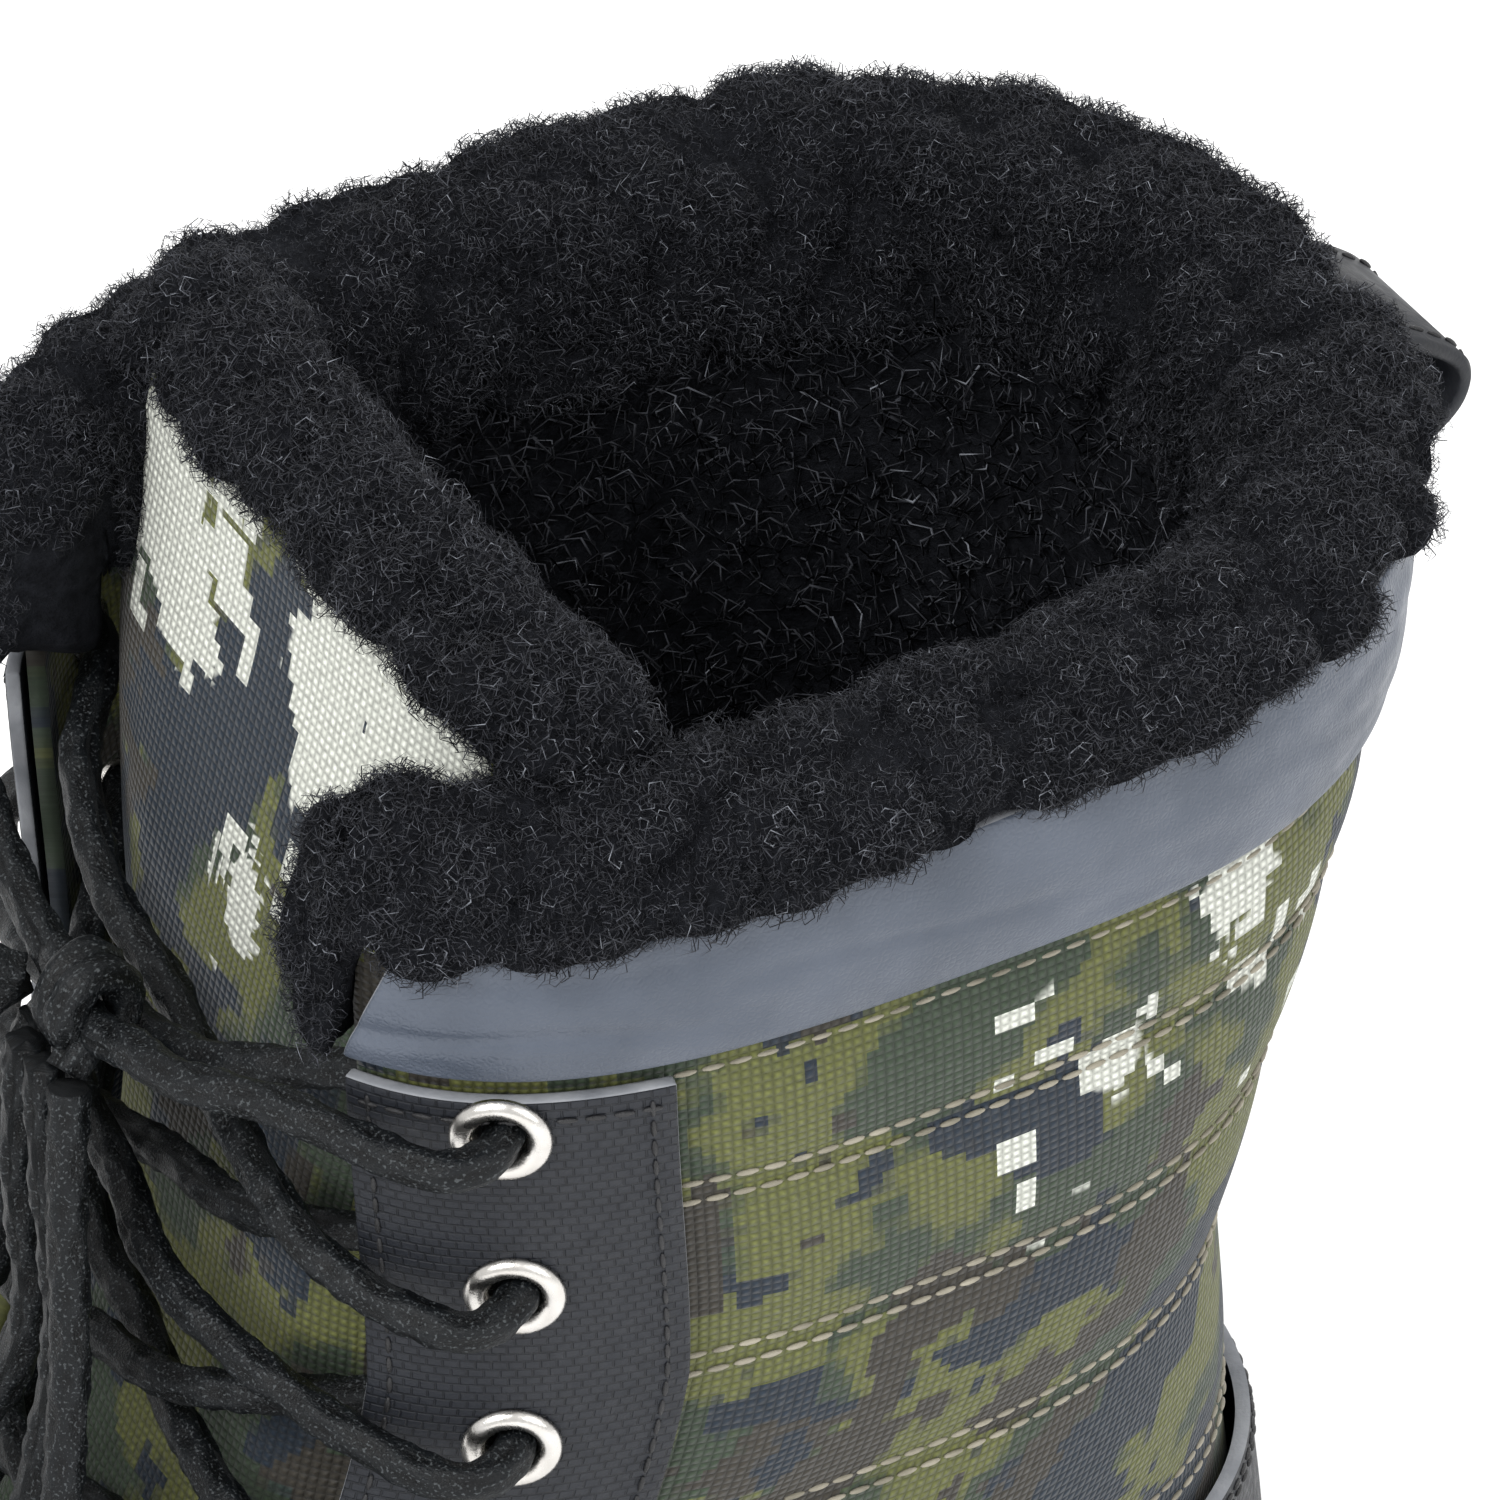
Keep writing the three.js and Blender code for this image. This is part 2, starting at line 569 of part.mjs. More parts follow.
// side is where this half of the lace starts at the lowest pair of eyelets.
function laceRun(side) {
  const points = [];
  const floor = (s, angle) => surface(s, angle, tongueFace(s, angle) - LACE / 2 - LACE_GAP);
  const lowest = eyelets[EYELET_COUNT - 1];
  for (const part of [0.012, 0.35, 0.7]) points.push(floor(lowest.section, lowest.angle * part * side));
  let here = side;
  for (let i = EYELET_COUNT - 1; i >= 0; i -= 1) {
    points.push(...throughEyelet(eyelets[i], here));
    if (i === 0) break;
    const low = eyelets[i].section;
    const high = eyelets[i - 1].section;
    const step = (t) => low + (high - low) * t;
    const edge = throatAngle(low) * here;
    const farEdge = throatAngle(high) * here;
    const top = side > 0 ? LACE + LACE_GAP : 0; // one half of the lace lies over the other
    const lifted = (s, angle, rise) => surface(s, angle, tongueFace(s, angle) - LACE / 2 - LACE_GAP - rise);
    points.push(surface(step(0.12), edge * 0.95, NEAR_FACING));
    points.push(lifted(step(0.35), edge * 0.4, top + 2));
    points.push(lifted(step(0.5), 0, top));
    points.push(lifted(step(0.65), -farEdge * 0.4, top * 0.8));
    points.push(floor(step(0.88), -farEdge * 0.85));
    here = -here;
  }
  const top = eyelets[0].section;
  points.push(surface(top, throatAngle(top) * 0.85 * here, NEAR_FACING - 1));
  points.push(KNOT.clone().add(new THREE.Vector3(here * (KNOT_SIZE.x + 9), 1, 2)));
  points.push(KNOT.clone().add(new THREE.Vector3(here * (KNOT_SIZE.x + 2 * GAP), 0, 0)));
  return points;
}
add('lace_run_a', tube(laceRun(1), LACE, 92), 'lace');
add('lace_run_b', tube(laceRun(-1), LACE, 92), 'lace');
const knot = new THREE.SphereGeometry(1, 12, 8);
knot.scale(KNOT_SIZE.x, KNOT_SIZE.y, KNOT_SIZE.z);
knot.translate(KNOT.x, KNOT.y, KNOT.z);
add('bow_knot', knot, 'lace');

// Free cord: two bow loops and two ends, all hanging in front of the lacing.
const fromKnot = (x, y, z) => new THREE.Vector3(KNOT.x + x, KNOT.y + y, KNOT.z + z);
const LOOP_A = [
  fromKnot(-5, -4.6, 2), fromKnot(-9, -14, 6), fromKnot(-14, -27, 5), fromKnot(-18, -33, -8),
  fromKnot(-17, -30, -26), fromKnot(-14, -23, -33), fromKnot(-12, -15, -20), fromKnot(-11.5, -9, -8),
  fromKnot(-8.6, -3.4, -1.6),
];
const LOOP_B = [
  fromKnot(1.5, -5.8, -4), fromKnot(3, -6.6, -16), fromKnot(5, -7.2, -36), fromKnot(7.5, -14, -58),
  fromKnot(11.5, -18.5, -66), fromKnot(14.5, -15, -58), fromKnot(11, -9.5, -36), fromKnot(8, -7.2, -16),
  fromKnot(6, -5.4, -4),
];
const overInstep = (section, angle) => surface(section, angle, -13);
const END_A = [
  fromKnot(-3, -5.4, -4.6), fromKnot(-3.5, -6.6, -20), fromKnot(-3, -7, -40), overInstep(3.4, -0.05),
  overInstep(4.2, -0.12), overInstep(5.2, -0.22), overInstep(6, -0.34), overInstep(6.7, -0.46),
];
const END_B = [
  fromKnot(-6.6, -2.2, -5.4), fromKnot(-9.5, -5.2, -18), fromKnot(-11, -7, -38), overInstep(3.2, -0.35),
  overInstep(3.9, -0.5), overInstep(4.7, -0.66), overInstep(5.4, -0.8),
];
function endAndTip(name, points) {
  const line = new THREE.CatmullRomCurve3(points, false, 'centripetal');
  add(`lace_end_${name}`, tube(points, LACE, 30), 'lace');
  const way = line.getTangent(1);
  const last = line.getPoint(1);
  const tip = [GAP, 6, 12, 18].map((distance) => last.clone().addScaledVector(way, distance));
  add(`aglet_${name}`, tube(tip, LACE * 0.85, 3), 'rubber');
}
add('bow_loop_a', tube(LOOP_A, LACE, 26), 'lace');
add('bow_loop_b', tube(LOOP_B, LACE, 30), 'lace');
endAndTip('a', END_A);
endAndTip('b', END_B);

// ---- pull loop: a folded leather strip sewn to the back of the band --------------------------------
const LOOP_WIDTH = 20;
const LOOP_FOOT = 81.4; // where its sewn end lies on the band
function pullLoop() {
  const outer = [
    [0, 0], [1.7, 0], [3.4, 1.6], [9.8, 3.4], [13.2, 7], [12.8, 11.6], [7.6, 16], [3.6, 17.2], [3.2, 14.4],
    [3.2, 6.2], [0, 5],
  ];
  const inner = [[4.7, 5], [9, 5.6], [11.6, 8], [11.2, 10.8], [6.8, 14.2], [4.8, 14.6]];
  const shape = new THREE.Shape(outer.map(([y, z]) => new THREE.Vector2(y, z)));
  shape.holes.push(new THREE.Path(inner.map(([y, z]) => new THREE.Vector2(y, z))));
  const strip = new THREE.ExtrudeGeometry(shape, { depth: LOOP_WIDTH, bevelEnabled: false, steps: 1 });
  strip.translate(0, 0, -LOOP_WIDTH / 2);
  const stood = new THREE.Matrix4();
  stood.set(0, 0, 1, 0, 1, 0, 0, LOOP_FOOT, 0, 1, 0, BAND_BOTTOM + 1, 0, 0, 0, 1);
  strip.applyMatrix4(stood);
  return strip;
}
add('pull_loop', pullLoop(), 'leather');

// ---- the sole unit ---------------------------------------------------------------------------------
const upperLine = raised(SOLE_TOP, 0);
const middleLine = raised(SOLE_TOP, -MIDSOLE_THICKNESS);
const outsole = common(soleBlock(0, 60), sideSlab(between(TREAD, raised(middleLine, -GAP)), 160));
add('outsole', outsole, 'rubber');
const SHANK_THICKNESS = 1.5;
const SHANK_WIDTH = 14;
const shankLine = SOLE_TOP.filter(([y]) => y < 30 && y > -112);
const SLOT_RISE = 5; // the slot's cutter stands this far above the midsole
const slotSide = between(raised(shankLine, -SHANK_THICKNESS - 2 * GAP), raised(shankLine, SLOT_RISE));
const slot = sideSlab(slotSide, SHANK_WIDTH + 2 * GAP);
const midsole = common(soleBlock(-1, 60), sideSlab(between(middleLine, upperLine), 160));
add('midsole', cut(midsole, slot), 'foam');
const shankInner = shankLine.map(([y, z], i) => {
  const first = i === 0 ? GAP : 0;
  const last = i === shankLine.length - 1 ? GAP : 0;
  return [y - first + last, z];
});
const shankSide = between(raised(shankInner, -SHANK_THICKNESS - GAP), raised(shankInner, -GAP));
add('shank', sideSlab(shankSide, SHANK_WIDTH), 'steel');
const randBody = sheet({
  from: 4.6, to: TIP, rows: 15, cols: 20, wrap: true, start: 0, end: 2 * Math.PI,
  outer: RAND_OUT, inner: RAND_IN,
});
add('rand', common(randBody, randBand), 'rubber');
const BOARD = 2.4;
const FOOTBED = 6;
const INSIDE = -24; // from the sole's edge in to the lining
const INSIDE_LENGTH = 0.93; // and shorter again, to clear the rounded toe and heel
const INSIDE_MIDDLE = -72;
function insideLayer(low, high) {
  const block = soleBlock(INSIDE, 60);
  block.translate(0, -INSIDE_MIDDLE, 0);
  block.scale(1, INSIDE_LENGTH, 1);
  block.translate(0, INSIDE_MIDDLE, 0);
  return common(block, sideSlab(between(raised(SOLE_TOP, low), raised(SOLE_TOP, high)), 160));
}
add('insole_board', insideLayer(GAP, GAP + BOARD), 'board');
add('footbed', insideLayer(2 * GAP + BOARD, 2 * GAP + BOARD + FOOTBED), 'foam');

export default boot;
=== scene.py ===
"""The looks of a left-foot insulated hunting boot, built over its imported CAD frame.

Lengths inside the classes are in millimetres, as a boot maker gives them, and every mesh is made in
metres. +Z is up, the toe points to -Y and +X is the outer side of the foot.
"""

import json
import logging
import math
from dataclasses import dataclass
from enum import Enum
from typing import Callable, Sequence

import bmesh
import bpy
import numpy as np
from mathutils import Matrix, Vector, noise

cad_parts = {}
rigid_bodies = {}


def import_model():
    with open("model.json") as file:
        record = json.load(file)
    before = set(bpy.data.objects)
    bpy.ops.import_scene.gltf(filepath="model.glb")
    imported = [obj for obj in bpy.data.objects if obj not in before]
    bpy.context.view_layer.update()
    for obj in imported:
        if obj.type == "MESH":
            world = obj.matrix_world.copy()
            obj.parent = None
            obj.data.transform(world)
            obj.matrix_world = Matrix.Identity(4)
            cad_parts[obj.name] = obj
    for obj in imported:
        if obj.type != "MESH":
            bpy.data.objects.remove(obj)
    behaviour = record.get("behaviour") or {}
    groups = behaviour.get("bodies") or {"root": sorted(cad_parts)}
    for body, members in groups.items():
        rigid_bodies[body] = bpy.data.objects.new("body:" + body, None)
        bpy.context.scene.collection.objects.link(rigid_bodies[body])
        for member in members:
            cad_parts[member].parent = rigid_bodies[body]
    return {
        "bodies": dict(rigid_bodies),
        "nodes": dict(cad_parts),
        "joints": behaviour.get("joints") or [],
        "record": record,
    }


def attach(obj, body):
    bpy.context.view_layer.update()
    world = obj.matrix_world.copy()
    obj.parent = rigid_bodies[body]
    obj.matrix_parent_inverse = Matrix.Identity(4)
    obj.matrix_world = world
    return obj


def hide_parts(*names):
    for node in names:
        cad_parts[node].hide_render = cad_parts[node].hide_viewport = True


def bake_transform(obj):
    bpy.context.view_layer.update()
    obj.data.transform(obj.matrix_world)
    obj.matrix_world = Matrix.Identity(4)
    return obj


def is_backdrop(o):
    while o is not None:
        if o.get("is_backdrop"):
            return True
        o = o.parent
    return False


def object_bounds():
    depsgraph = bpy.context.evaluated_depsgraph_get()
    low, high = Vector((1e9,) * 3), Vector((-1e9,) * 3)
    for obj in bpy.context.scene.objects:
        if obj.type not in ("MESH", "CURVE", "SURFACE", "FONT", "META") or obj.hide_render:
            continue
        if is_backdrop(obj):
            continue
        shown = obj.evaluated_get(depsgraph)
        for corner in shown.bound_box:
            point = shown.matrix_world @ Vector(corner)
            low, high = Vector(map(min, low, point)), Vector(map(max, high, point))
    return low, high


LOG = logging.getLogger("boot")
MM = 0.001
TAU = 2 * math.pi
Array = np.ndarray
Inset = Callable[[Array, Array], Array]
Move = Callable[[Array], Array]
Pairs = tuple[tuple[float, float], ...]
Triples = tuple[tuple[float, float, float], ...]
Rgb = tuple[float, float, float]
Piece = bpy.types.Object
Socket = bpy.types.NodeSocket
Material = bpy.types.Material


class Body(Enum):
    """The moving bodies that pieces ride on."""

    BOOT = "boot"
    TOE = "toe"
    TONGUE_TOP = "tongue_top"
    PULL_LOOP = "pull_loop"


class Side(Enum):
    """The two sides of the boot, with their sign along X."""

    LATERAL = 1
    MEDIAL = -1

    @property
    def word(self) -> str:
        """The side's name as node names spell it."""
        return self.name.lower()


# ----------------------------------------------------------------------------
# The boot's form
# ----------------------------------------------------------------------------
@dataclass(frozen=True)
class Section:
    """One closed ring of the form, from its front line round to its back or under line.

    front and back are (y, z); half is half the width; shift moves the ring sideways; blunt says
    how square its corners are, in front and behind.
    """

    front: tuple[float, float]
    back: tuple[float, float]
    half: float
    shift: float
    blunt: tuple[float, float]


SECTIONS = (
    Section((-50, 236), (79.5, 236), 52, 0, (3.5, 2.3)),
    Section((-49, 196), (76.5, 196), 51.5, 0, (3.5, 2.3)),
    Section((-50, 162), (69, 162), 48.5, 0, (3.3, 2.3)),
    Section((-56.5, 137), (64, 134), 46, 0, (3, 2.3)),
    Section((-67, 119), (67, 106), 44, 0, (2.8, 2.3)),
    Section((-82, 106), (71, 78), 42, 0, (2.6, 2.4)),
    Section((-97, 97), (73, 50), 40, 0, (2.5, 2.5)),
    Section((-112, 90), (62, 17), 40, 0, (2.4, 2.6)),
    Section((-127, 83), (2, 10), 42, 0, (2.3, 2.7)),
    Section((-147, 75), (-58, 10), 46, 1, (2.3, 2.8)),
    Section((-169, 67), (-115, 8), 49, 1, (2.3, 2.9)),
    Section((-192, 59), (-166, 10), 47, -1, (2.3, 2.9)),
    Section((-211, 50), (-199, 14), 37, -4, (2.3, 2.7)),
    Section((-223, 39), (-218, 20), 20, -6, (2.2, 2.3)),
    Section((-226, 29), (-226, 29), 0, -7, (2, 2)),
)


@dataclass(frozen=True)
class Fit:
    """The sizes that the boot's pieces share, in millimetres."""

    canvas: float = 1.8
    lift: float = 0.7
    overlay: float = 1.6
    facing_top: float = 200.5
    facing_width: float = 30.0
    throat_half: float = 34.0
    throat_half_low: float = 21.0
    throat_foot: float = 7.1
    vamp_start: float = 7.6
    eyelets: int = 7
    eyelet_pitch: float = 20.2
    eyelet_from_top: float = 4.2
    eyelet_from_edge: float = 14.0
    lace: float = 4.2
    cad_lace: float = 3.6
    lace_gap: float = 1.5
    turn: float = 6.7
    turn_middle: float = -0.7
    turn_back: float = 0.6
    tongue_inset: float = 6.0
    tongue_edge_inset: float = 8.3
    rand_in: float = -1.5
    rand_out: float = -3.7
    rand_height: float = 16.0
    cap_in: float = -1.4
    toe_cap_start: float = 11.1


class Form:
    """The outer surface of the boot's upper, as a function of section number and angle."""

    def __init__(self, fit: Fit) -> None:
        """Sets up the lines that the sections give.

        Args:
            fit: the boot's shared sizes.
        """
        self.fit = fit
        self.tip = len(SECTIONS) - 1
        rows = [(*s.front, *s.back, s.half, s.shift, *s.blunt) for s in SECTIONS]
        knots = np.array(rows, float)
        first = 2 * knots[0] - knots[1]
        last = 2 * knots[-1] - knots[-2]
        self._knots = np.vstack([first, knots, last])

    def _line(self, section: Array) -> Array:
        """The sections' values between their numbers, on a smooth line through them all."""
        s = np.clip(np.asarray(section, float), 0, self.tip)
        i = np.minimum(np.floor(s).astype(int), self.tip - 1)
        t = (s - i)[..., None]
        a, b, c, d = (self._knots[i + k] for k in range(4))
        m0, m1 = 0.5 * (c - a), 0.5 * (d - b)
        return b + m0 * t + (3 * (c - b) - 2 * m0 - m1) * t**2 + (2 * (b - c) + m0 + m1) * t**3

    def bare(self, section: Array, angle: Array) -> Array:
        """Points on the surface.

        Args:
            section: section numbers.
            angle: angles from the front line, positive towards +X.

        Returns:
            Points in millimetres, with a last axis of three.
        """
        section, angle = np.broadcast_arrays(np.asarray(section, float), np.asarray(angle, float))
        v = self._line(section)
        c, k = np.cos(angle), np.sin(angle)
        power = v[..., 7] + (v[..., 6] - v[..., 7]) * (1 + c) / 2
        reach = (np.abs(c) ** power + np.abs(k) ** power) ** (-1 / power)
        u = 0.5 * reach * c
        y = (v[..., 0] + v[..., 2]) / 2 + (v[..., 0] - v[..., 2]) * u
        z = (v[..., 1] + v[..., 3]) / 2 + (v[..., 1] - v[..., 3]) * u
        x = v[..., 5] + v[..., 4] * reach * k
        return np.stack([x, y, z], -1)

    def outward(self, section: Array, angle: Array) -> Array:
        """Unit directions out of the surface.

        Args:
            section: section numbers.
            angle: angles from the front line.

        Returns:
            Directions with a last axis of three.
        """
        section, angle = np.broadcast_arrays(np.asarray(section, float), np.asarray(angle, float))
        step = 0.02
        safe = np.minimum(section, self.tip - step - 1e-6)
        across = self.bare(safe, angle + step) - self.bare(safe, angle - step)
        along = self.bare(safe + step, angle) - self.bare(safe - step, angle)
        way = np.cross(along, across)
        way /= np.linalg.norm(way, axis=-1, keepdims=True) + 1e-12
        way[section > self.tip - step] = (0, -1, 0)
        return way

    def at(self, section: Array, angle: Array, inset: Array = 0.0) -> Array:
        """Points at a depth inside the surface, in millimetres."""
        depth = np.asarray(inset, float)
        return self.bare(section, angle) - self.outward(section, angle) * depth[..., None]

    def section_at_height(self, height: float) -> float:
        """The section whose front line is at this height on the leg."""
        low, high = -0.0, self.fit.throat_foot
        for _ in range(40):
            middle = (low + high) / 2
            if self._line(middle)[1] > height:
                low = middle
            else:
                high = middle
        return low

    def section_below(self, start: float, distance: float) -> float:
        """The section reached by going down the front line for a distance."""
        steps = np.arange(start, self.tip, 0.01)
        line = self._line(steps)[:, :2]
        run = np.concatenate([[0], np.cumsum(np.linalg.norm(np.diff(line, axis=0), axis=1))])
        return float(np.interp(distance, run, steps))

    def angle_across(self, section: Array, distance: Array) -> Array:
        """The angle in front at which a section is this far from the middle."""
        section = np.asarray(section, float)
        low = np.zeros_like(section)
        high = np.full_like(section, math.pi / 2)
        for _ in range(32):
            middle = (low + high) / 2
            inside = self.bare(section, middle)[..., 0] < distance
            low = np.where(inside, middle, low)
            high = np.where(inside, high, middle)
        return low

    def angle_round(self, section: Array, start: Array, distance: float) -> Array:
        """The angle reached from another one by going round the section for a distance."""
        section = np.atleast_1d(np.asarray(section, float))
        start = np.broadcast_to(np.asarray(start, float), section.shape)
        ends = []
        for s, a in zip(section, start):
            angles = np.arange(a, math.pi, 0.005)
            run = np.linalg.norm(np.diff(self.bare(s, angles), axis=0), axis=1)
            ends.append(np.interp(distance, np.concatenate([[0], np.cumsum(run)]), angles))
        return np.array(ends)

    def throat_half(self, section: Array) -> Array:
        """Half the gap between the facings."""
        t = np.clip((np.asarray(section, float) - 2) / (self.fit.throat_foot - 2), 0, 1)
        return self.fit.throat_half + (self.fit.throat_half_low - self.fit.throat_half) * t

    def throat_angle(self, section: Array) -> Array:
        """The angle of the facing's front edge."""
        return self.angle_across(section, self.throat_half(section))

    def facing_end(self, section: Array) -> Array:
        """The angle of the facing's rear edge."""
        return self.angle_round(section, self.throat_angle(section), self.fit.facing_width)

    def tongue_half(self, section: Array) -> Array:
        """Half the tongue's width."""
        return self.throat_half(section) + 8.5

    def tongue_face(self, section: Array, angle: Array) -> Array:
        """The inset of the tongue's face, deeper where its edges tuck behind the facings."""
        t = np.abs(self.bare(section, angle)[..., 0]) / self.tongue_half(section)
        fit = self.fit
        ease = np.clip((t - 0.45) * 4, 0, 1)
        return fit.tongue_inset + (fit.tongue_edge_inset - fit.tongue_inset) * ease


SOLE_TOP_KNOTS = ((92, 38), (10, 38), (-50, 33), (-105, 28), (-165, 27), (-205, 30), (-240, 36))
UPPER_CLEAR = 0.3
TREAD_LINE = ((83, 7), (77, 0), (-10, 0), (-14, 9), (-66, 8), (-72, 0), (-178, 0), (-205, 5), (-234, 17))
OUTLINE = (
    (0, 80), (24, 74), (38, 48), (41, 5), (43, -45), (48, -95), (54, -130), (54, -165), (44, -200),
    (24, -224), (-6, -232), (-34, -220), (-49, -192), (-52, -150), (-47, -105), (-42, -60), (-40, -10),
    (-38, 48), (-24, 74),
)


def spline_points(knots: Sequence[Sequence[float]], count: int, closed: bool = False) -> Array:
    """Points evenly numbered along a smooth line through knots.

    Args:
        knots: the points that the line passes through.
        count: how many steps to take.
        closed: whether the line returns to its start.

    Returns:
        count + 1 points, or count when closed.
    """
    k = np.array(knots, float)
    n = len(k)
    if closed:
        t = np.arange(count) / count * n
        i = np.floor(t).astype(int)
        p = [k[(i + d) % n] for d in (-1, 0, 1, 2)]
    else:
        t = np.linspace(0, n - 1, count + 1)
        i = np.minimum(np.floor(t).astype(int), n - 2)
        p = [k[np.clip(i + d, 0, n - 1)] for d in (-1, 0, 1, 2)]
    f = (t - i)[:, None]
    m0, m1 = 0.5 * (p[2] - p[0]), 0.5 * (p[3] - p[1])
    return p[1] + m0 * f + (3 * (p[2] - p[1]) - 2 * m0 - m1) * f**2 + (2 * (p[1] - p[2]) + m0 + m1) * f**3


def sole_top(y: Array) -> Array:
    """The height of the midsole's upper face at a place along the foot."""
    line = spline_points(SOLE_TOP_KNOTS, 60)[::-1]
    return np.interp(y, line[:, 0], line[:, 1])


def tread_height(y: Array) -> Array:
    """The height of the sole's underside at a place along the foot."""
    line = np.array(TREAD_LINE, float)[::-1]
    return np.interp(y, line[:, 0], line[:, 1])


def cord_line(knots: Array, spacing: float) -> Array:
    """A smooth centripetal line through knots, sampled at even distances.

    Args:
        knots: the points that the cord passes through.
        spacing: the distance between samples.

    Returns:
        The samples, first and last knot included.
    """
    k = np.asarray(knots, float)
    ends = np.vstack([2 * k[0] - k[1], k, 2 * k[-1] - k[-2]])
    pieces = []
    t = np.linspace(0, 1, 40, endpoint=False)[:, None]
    for i in range(len(k) - 1):
        a, b, c, d = ends[i : i + 4]
        d0, d1, d2 = (max(np.linalg.norm(q - p), 1e-6) ** 0.5 for p, q in ((a, b), (b, c), (c, d)))
        m0 = ((b - a) / d0 - (c - a) / (d0 + d1) + (c - b) / d1) * d1
        m1 = ((c - b) / d1 - (d - b) / (d1 + d2) + (d - c) / d2) * d1
        pieces.append(b + m0 * t + (3 * (c - b) - 2 * m0 - m1) * t**2 + (2 * (b - c) + m0 + m1) * t**3)
    line = np.vstack([*pieces, k[-1:]])
    run = np.concatenate([[0], np.cumsum(np.linalg.norm(np.diff(line, axis=0), axis=1))])
    even = np.linspace(0, run[-1], max(2, int(round(run[-1] / spacing))) + 1)
    return np.stack([np.interp(even, run, line[:, j]) for j in range(3)], -1)


# ----------------------------------------------------------------------------
# Finishes
# ----------------------------------------------------------------------------
class Tree:
    """A short way to write a material's node tree."""

    def __init__(self, name: str) -> None:
        """Starts an empty material.

        Args:
            name: the material's name.
        """
        self.material = bpy.data.materials.new(name)
        self.material.use_nodes = True
        self.nodes = self.material.node_tree.nodes
        self.links = self.material.node_tree.links
        self.nodes.clear()
        self.shader = self.nodes.new("ShaderNodeBsdfPrincipled")
        output = self.nodes.new("ShaderNodeOutputMaterial")
        self.links.new(self.shader.outputs[0], output.inputs[0])

    def add(self, kind: str, **settings: object) -> bpy.types.Node:
        """A new node of a kind, with its properties set."""
        node = self.nodes.new("ShaderNode" + kind)
        for key, value in settings.items():
            setattr(node, key, value)
        return node

    def put(self, socket: Socket, value: object) -> None:
        """Links a socket to an output, or sets it to a plain value."""
        if isinstance(value, Socket):
            self.links.new(value, socket)
        elif isinstance(value, (tuple, list)) and socket.type == "RGBA" and len(value) == 3:
            socket.default_value = (*value, 1)
        else:
            socket.default_value = value

    def math(self, operation: str, a: object, b: object = 0.0, c: object = 0.0) -> Socket:
        """The result of a Math node."""
        node = self.add("Math", operation=operation)
        for socket, value in zip(node.inputs, (a, b, c)):
            self.put(socket, value)
        return node.outputs[0]

    def vector(self, operation: str, a: object, b: object = (0, 0, 0)) -> Socket:
        """The vector result of a Vector Math node."""
        node = self.add("VectorMath", operation=operation)
        self.put(node.inputs[0], a)
        self.put(node.inputs[1], b)
        return node.outputs[0]

    def mix(self, amount: object, a: object, b: object, blend: str = "MIX") -> Socket:
        """A colour between two others."""
        node = self.add("Mix", data_type="RGBA", blend_type=blend)
        self.put(node.inputs["Factor"], amount)
        self.put(node.inputs[6], a)
        self.put(node.inputs[7], b)
        return node.outputs[2]

    def noise(self, vector: object, scale: float, detail: float = 2.0, rough: float = 0.5) -> Socket:
        """The value of a Noise texture."""
        node = self.add("TexNoise")
        self.put(node.inputs["Vector"], vector)
        node.inputs["Scale"].default_value = scale
        node.inputs["Detail"].default_value = detail
        node.inputs["Roughness"].default_value = rough
        return node.outputs["Fac"]

    def step(self, value: object, edge: float, soft: float = 0.004) -> Socket:
        """A value turned from 0 to 1 across an edge."""
        node = self.add("MapRange", clamp=True)
        self.put(node.inputs["Value"], value)
        node.inputs["From Min"].default_value = edge - soft
        node.inputs["From Max"].default_value = edge + soft
        return node.outputs[0]

    def spread(self, value: object, low: float, high: float) -> Socket:
        """A value from about 0.3 to 0.7 spread over a new range."""
        node = self.add("MapRange", clamp=True)
        self.put(node.inputs["Value"], value)
        for name, number in (("From Min", 0.3), ("From Max", 0.7), ("To Min", low), ("To Max", high)):
            node.inputs[name].default_value = number
        return node.outputs[0]

    def bump(self, height: object, distance: float, strength: float = 1.0) -> None:
        """Gives the shader a bump from a height, in metres."""
        node = self.add("Bump")
        node.inputs["Strength"].default_value = strength
        node.inputs["Distance"].default_value = distance
        self.put(node.inputs["Height"], height)
        self.links.new(node.outputs[0], self.shader.inputs["Normal"])

    def cloth_place(self, scale: float = 1000.0) -> Socket:
        """The piece's own cloth coordinates, in millimetres along and across it."""
        node = self.add("UVMap", uv_map="cloth")
        return self._scaled(node.outputs[0], scale)

    def _scaled(self, vector: Socket, scale: float) -> Socket:
        """A vector times a number."""
        node = self.add("VectorMath", operation="SCALE")
        self.put(node.inputs[0], vector)
        node.inputs["Scale"].default_value = scale
        return node.outputs[0]

    def place(self) -> Socket:
        """The object coordinates, in millimetres."""
        return self._scaled(self.add("TexCoord").outputs["Object"], 1000.0)


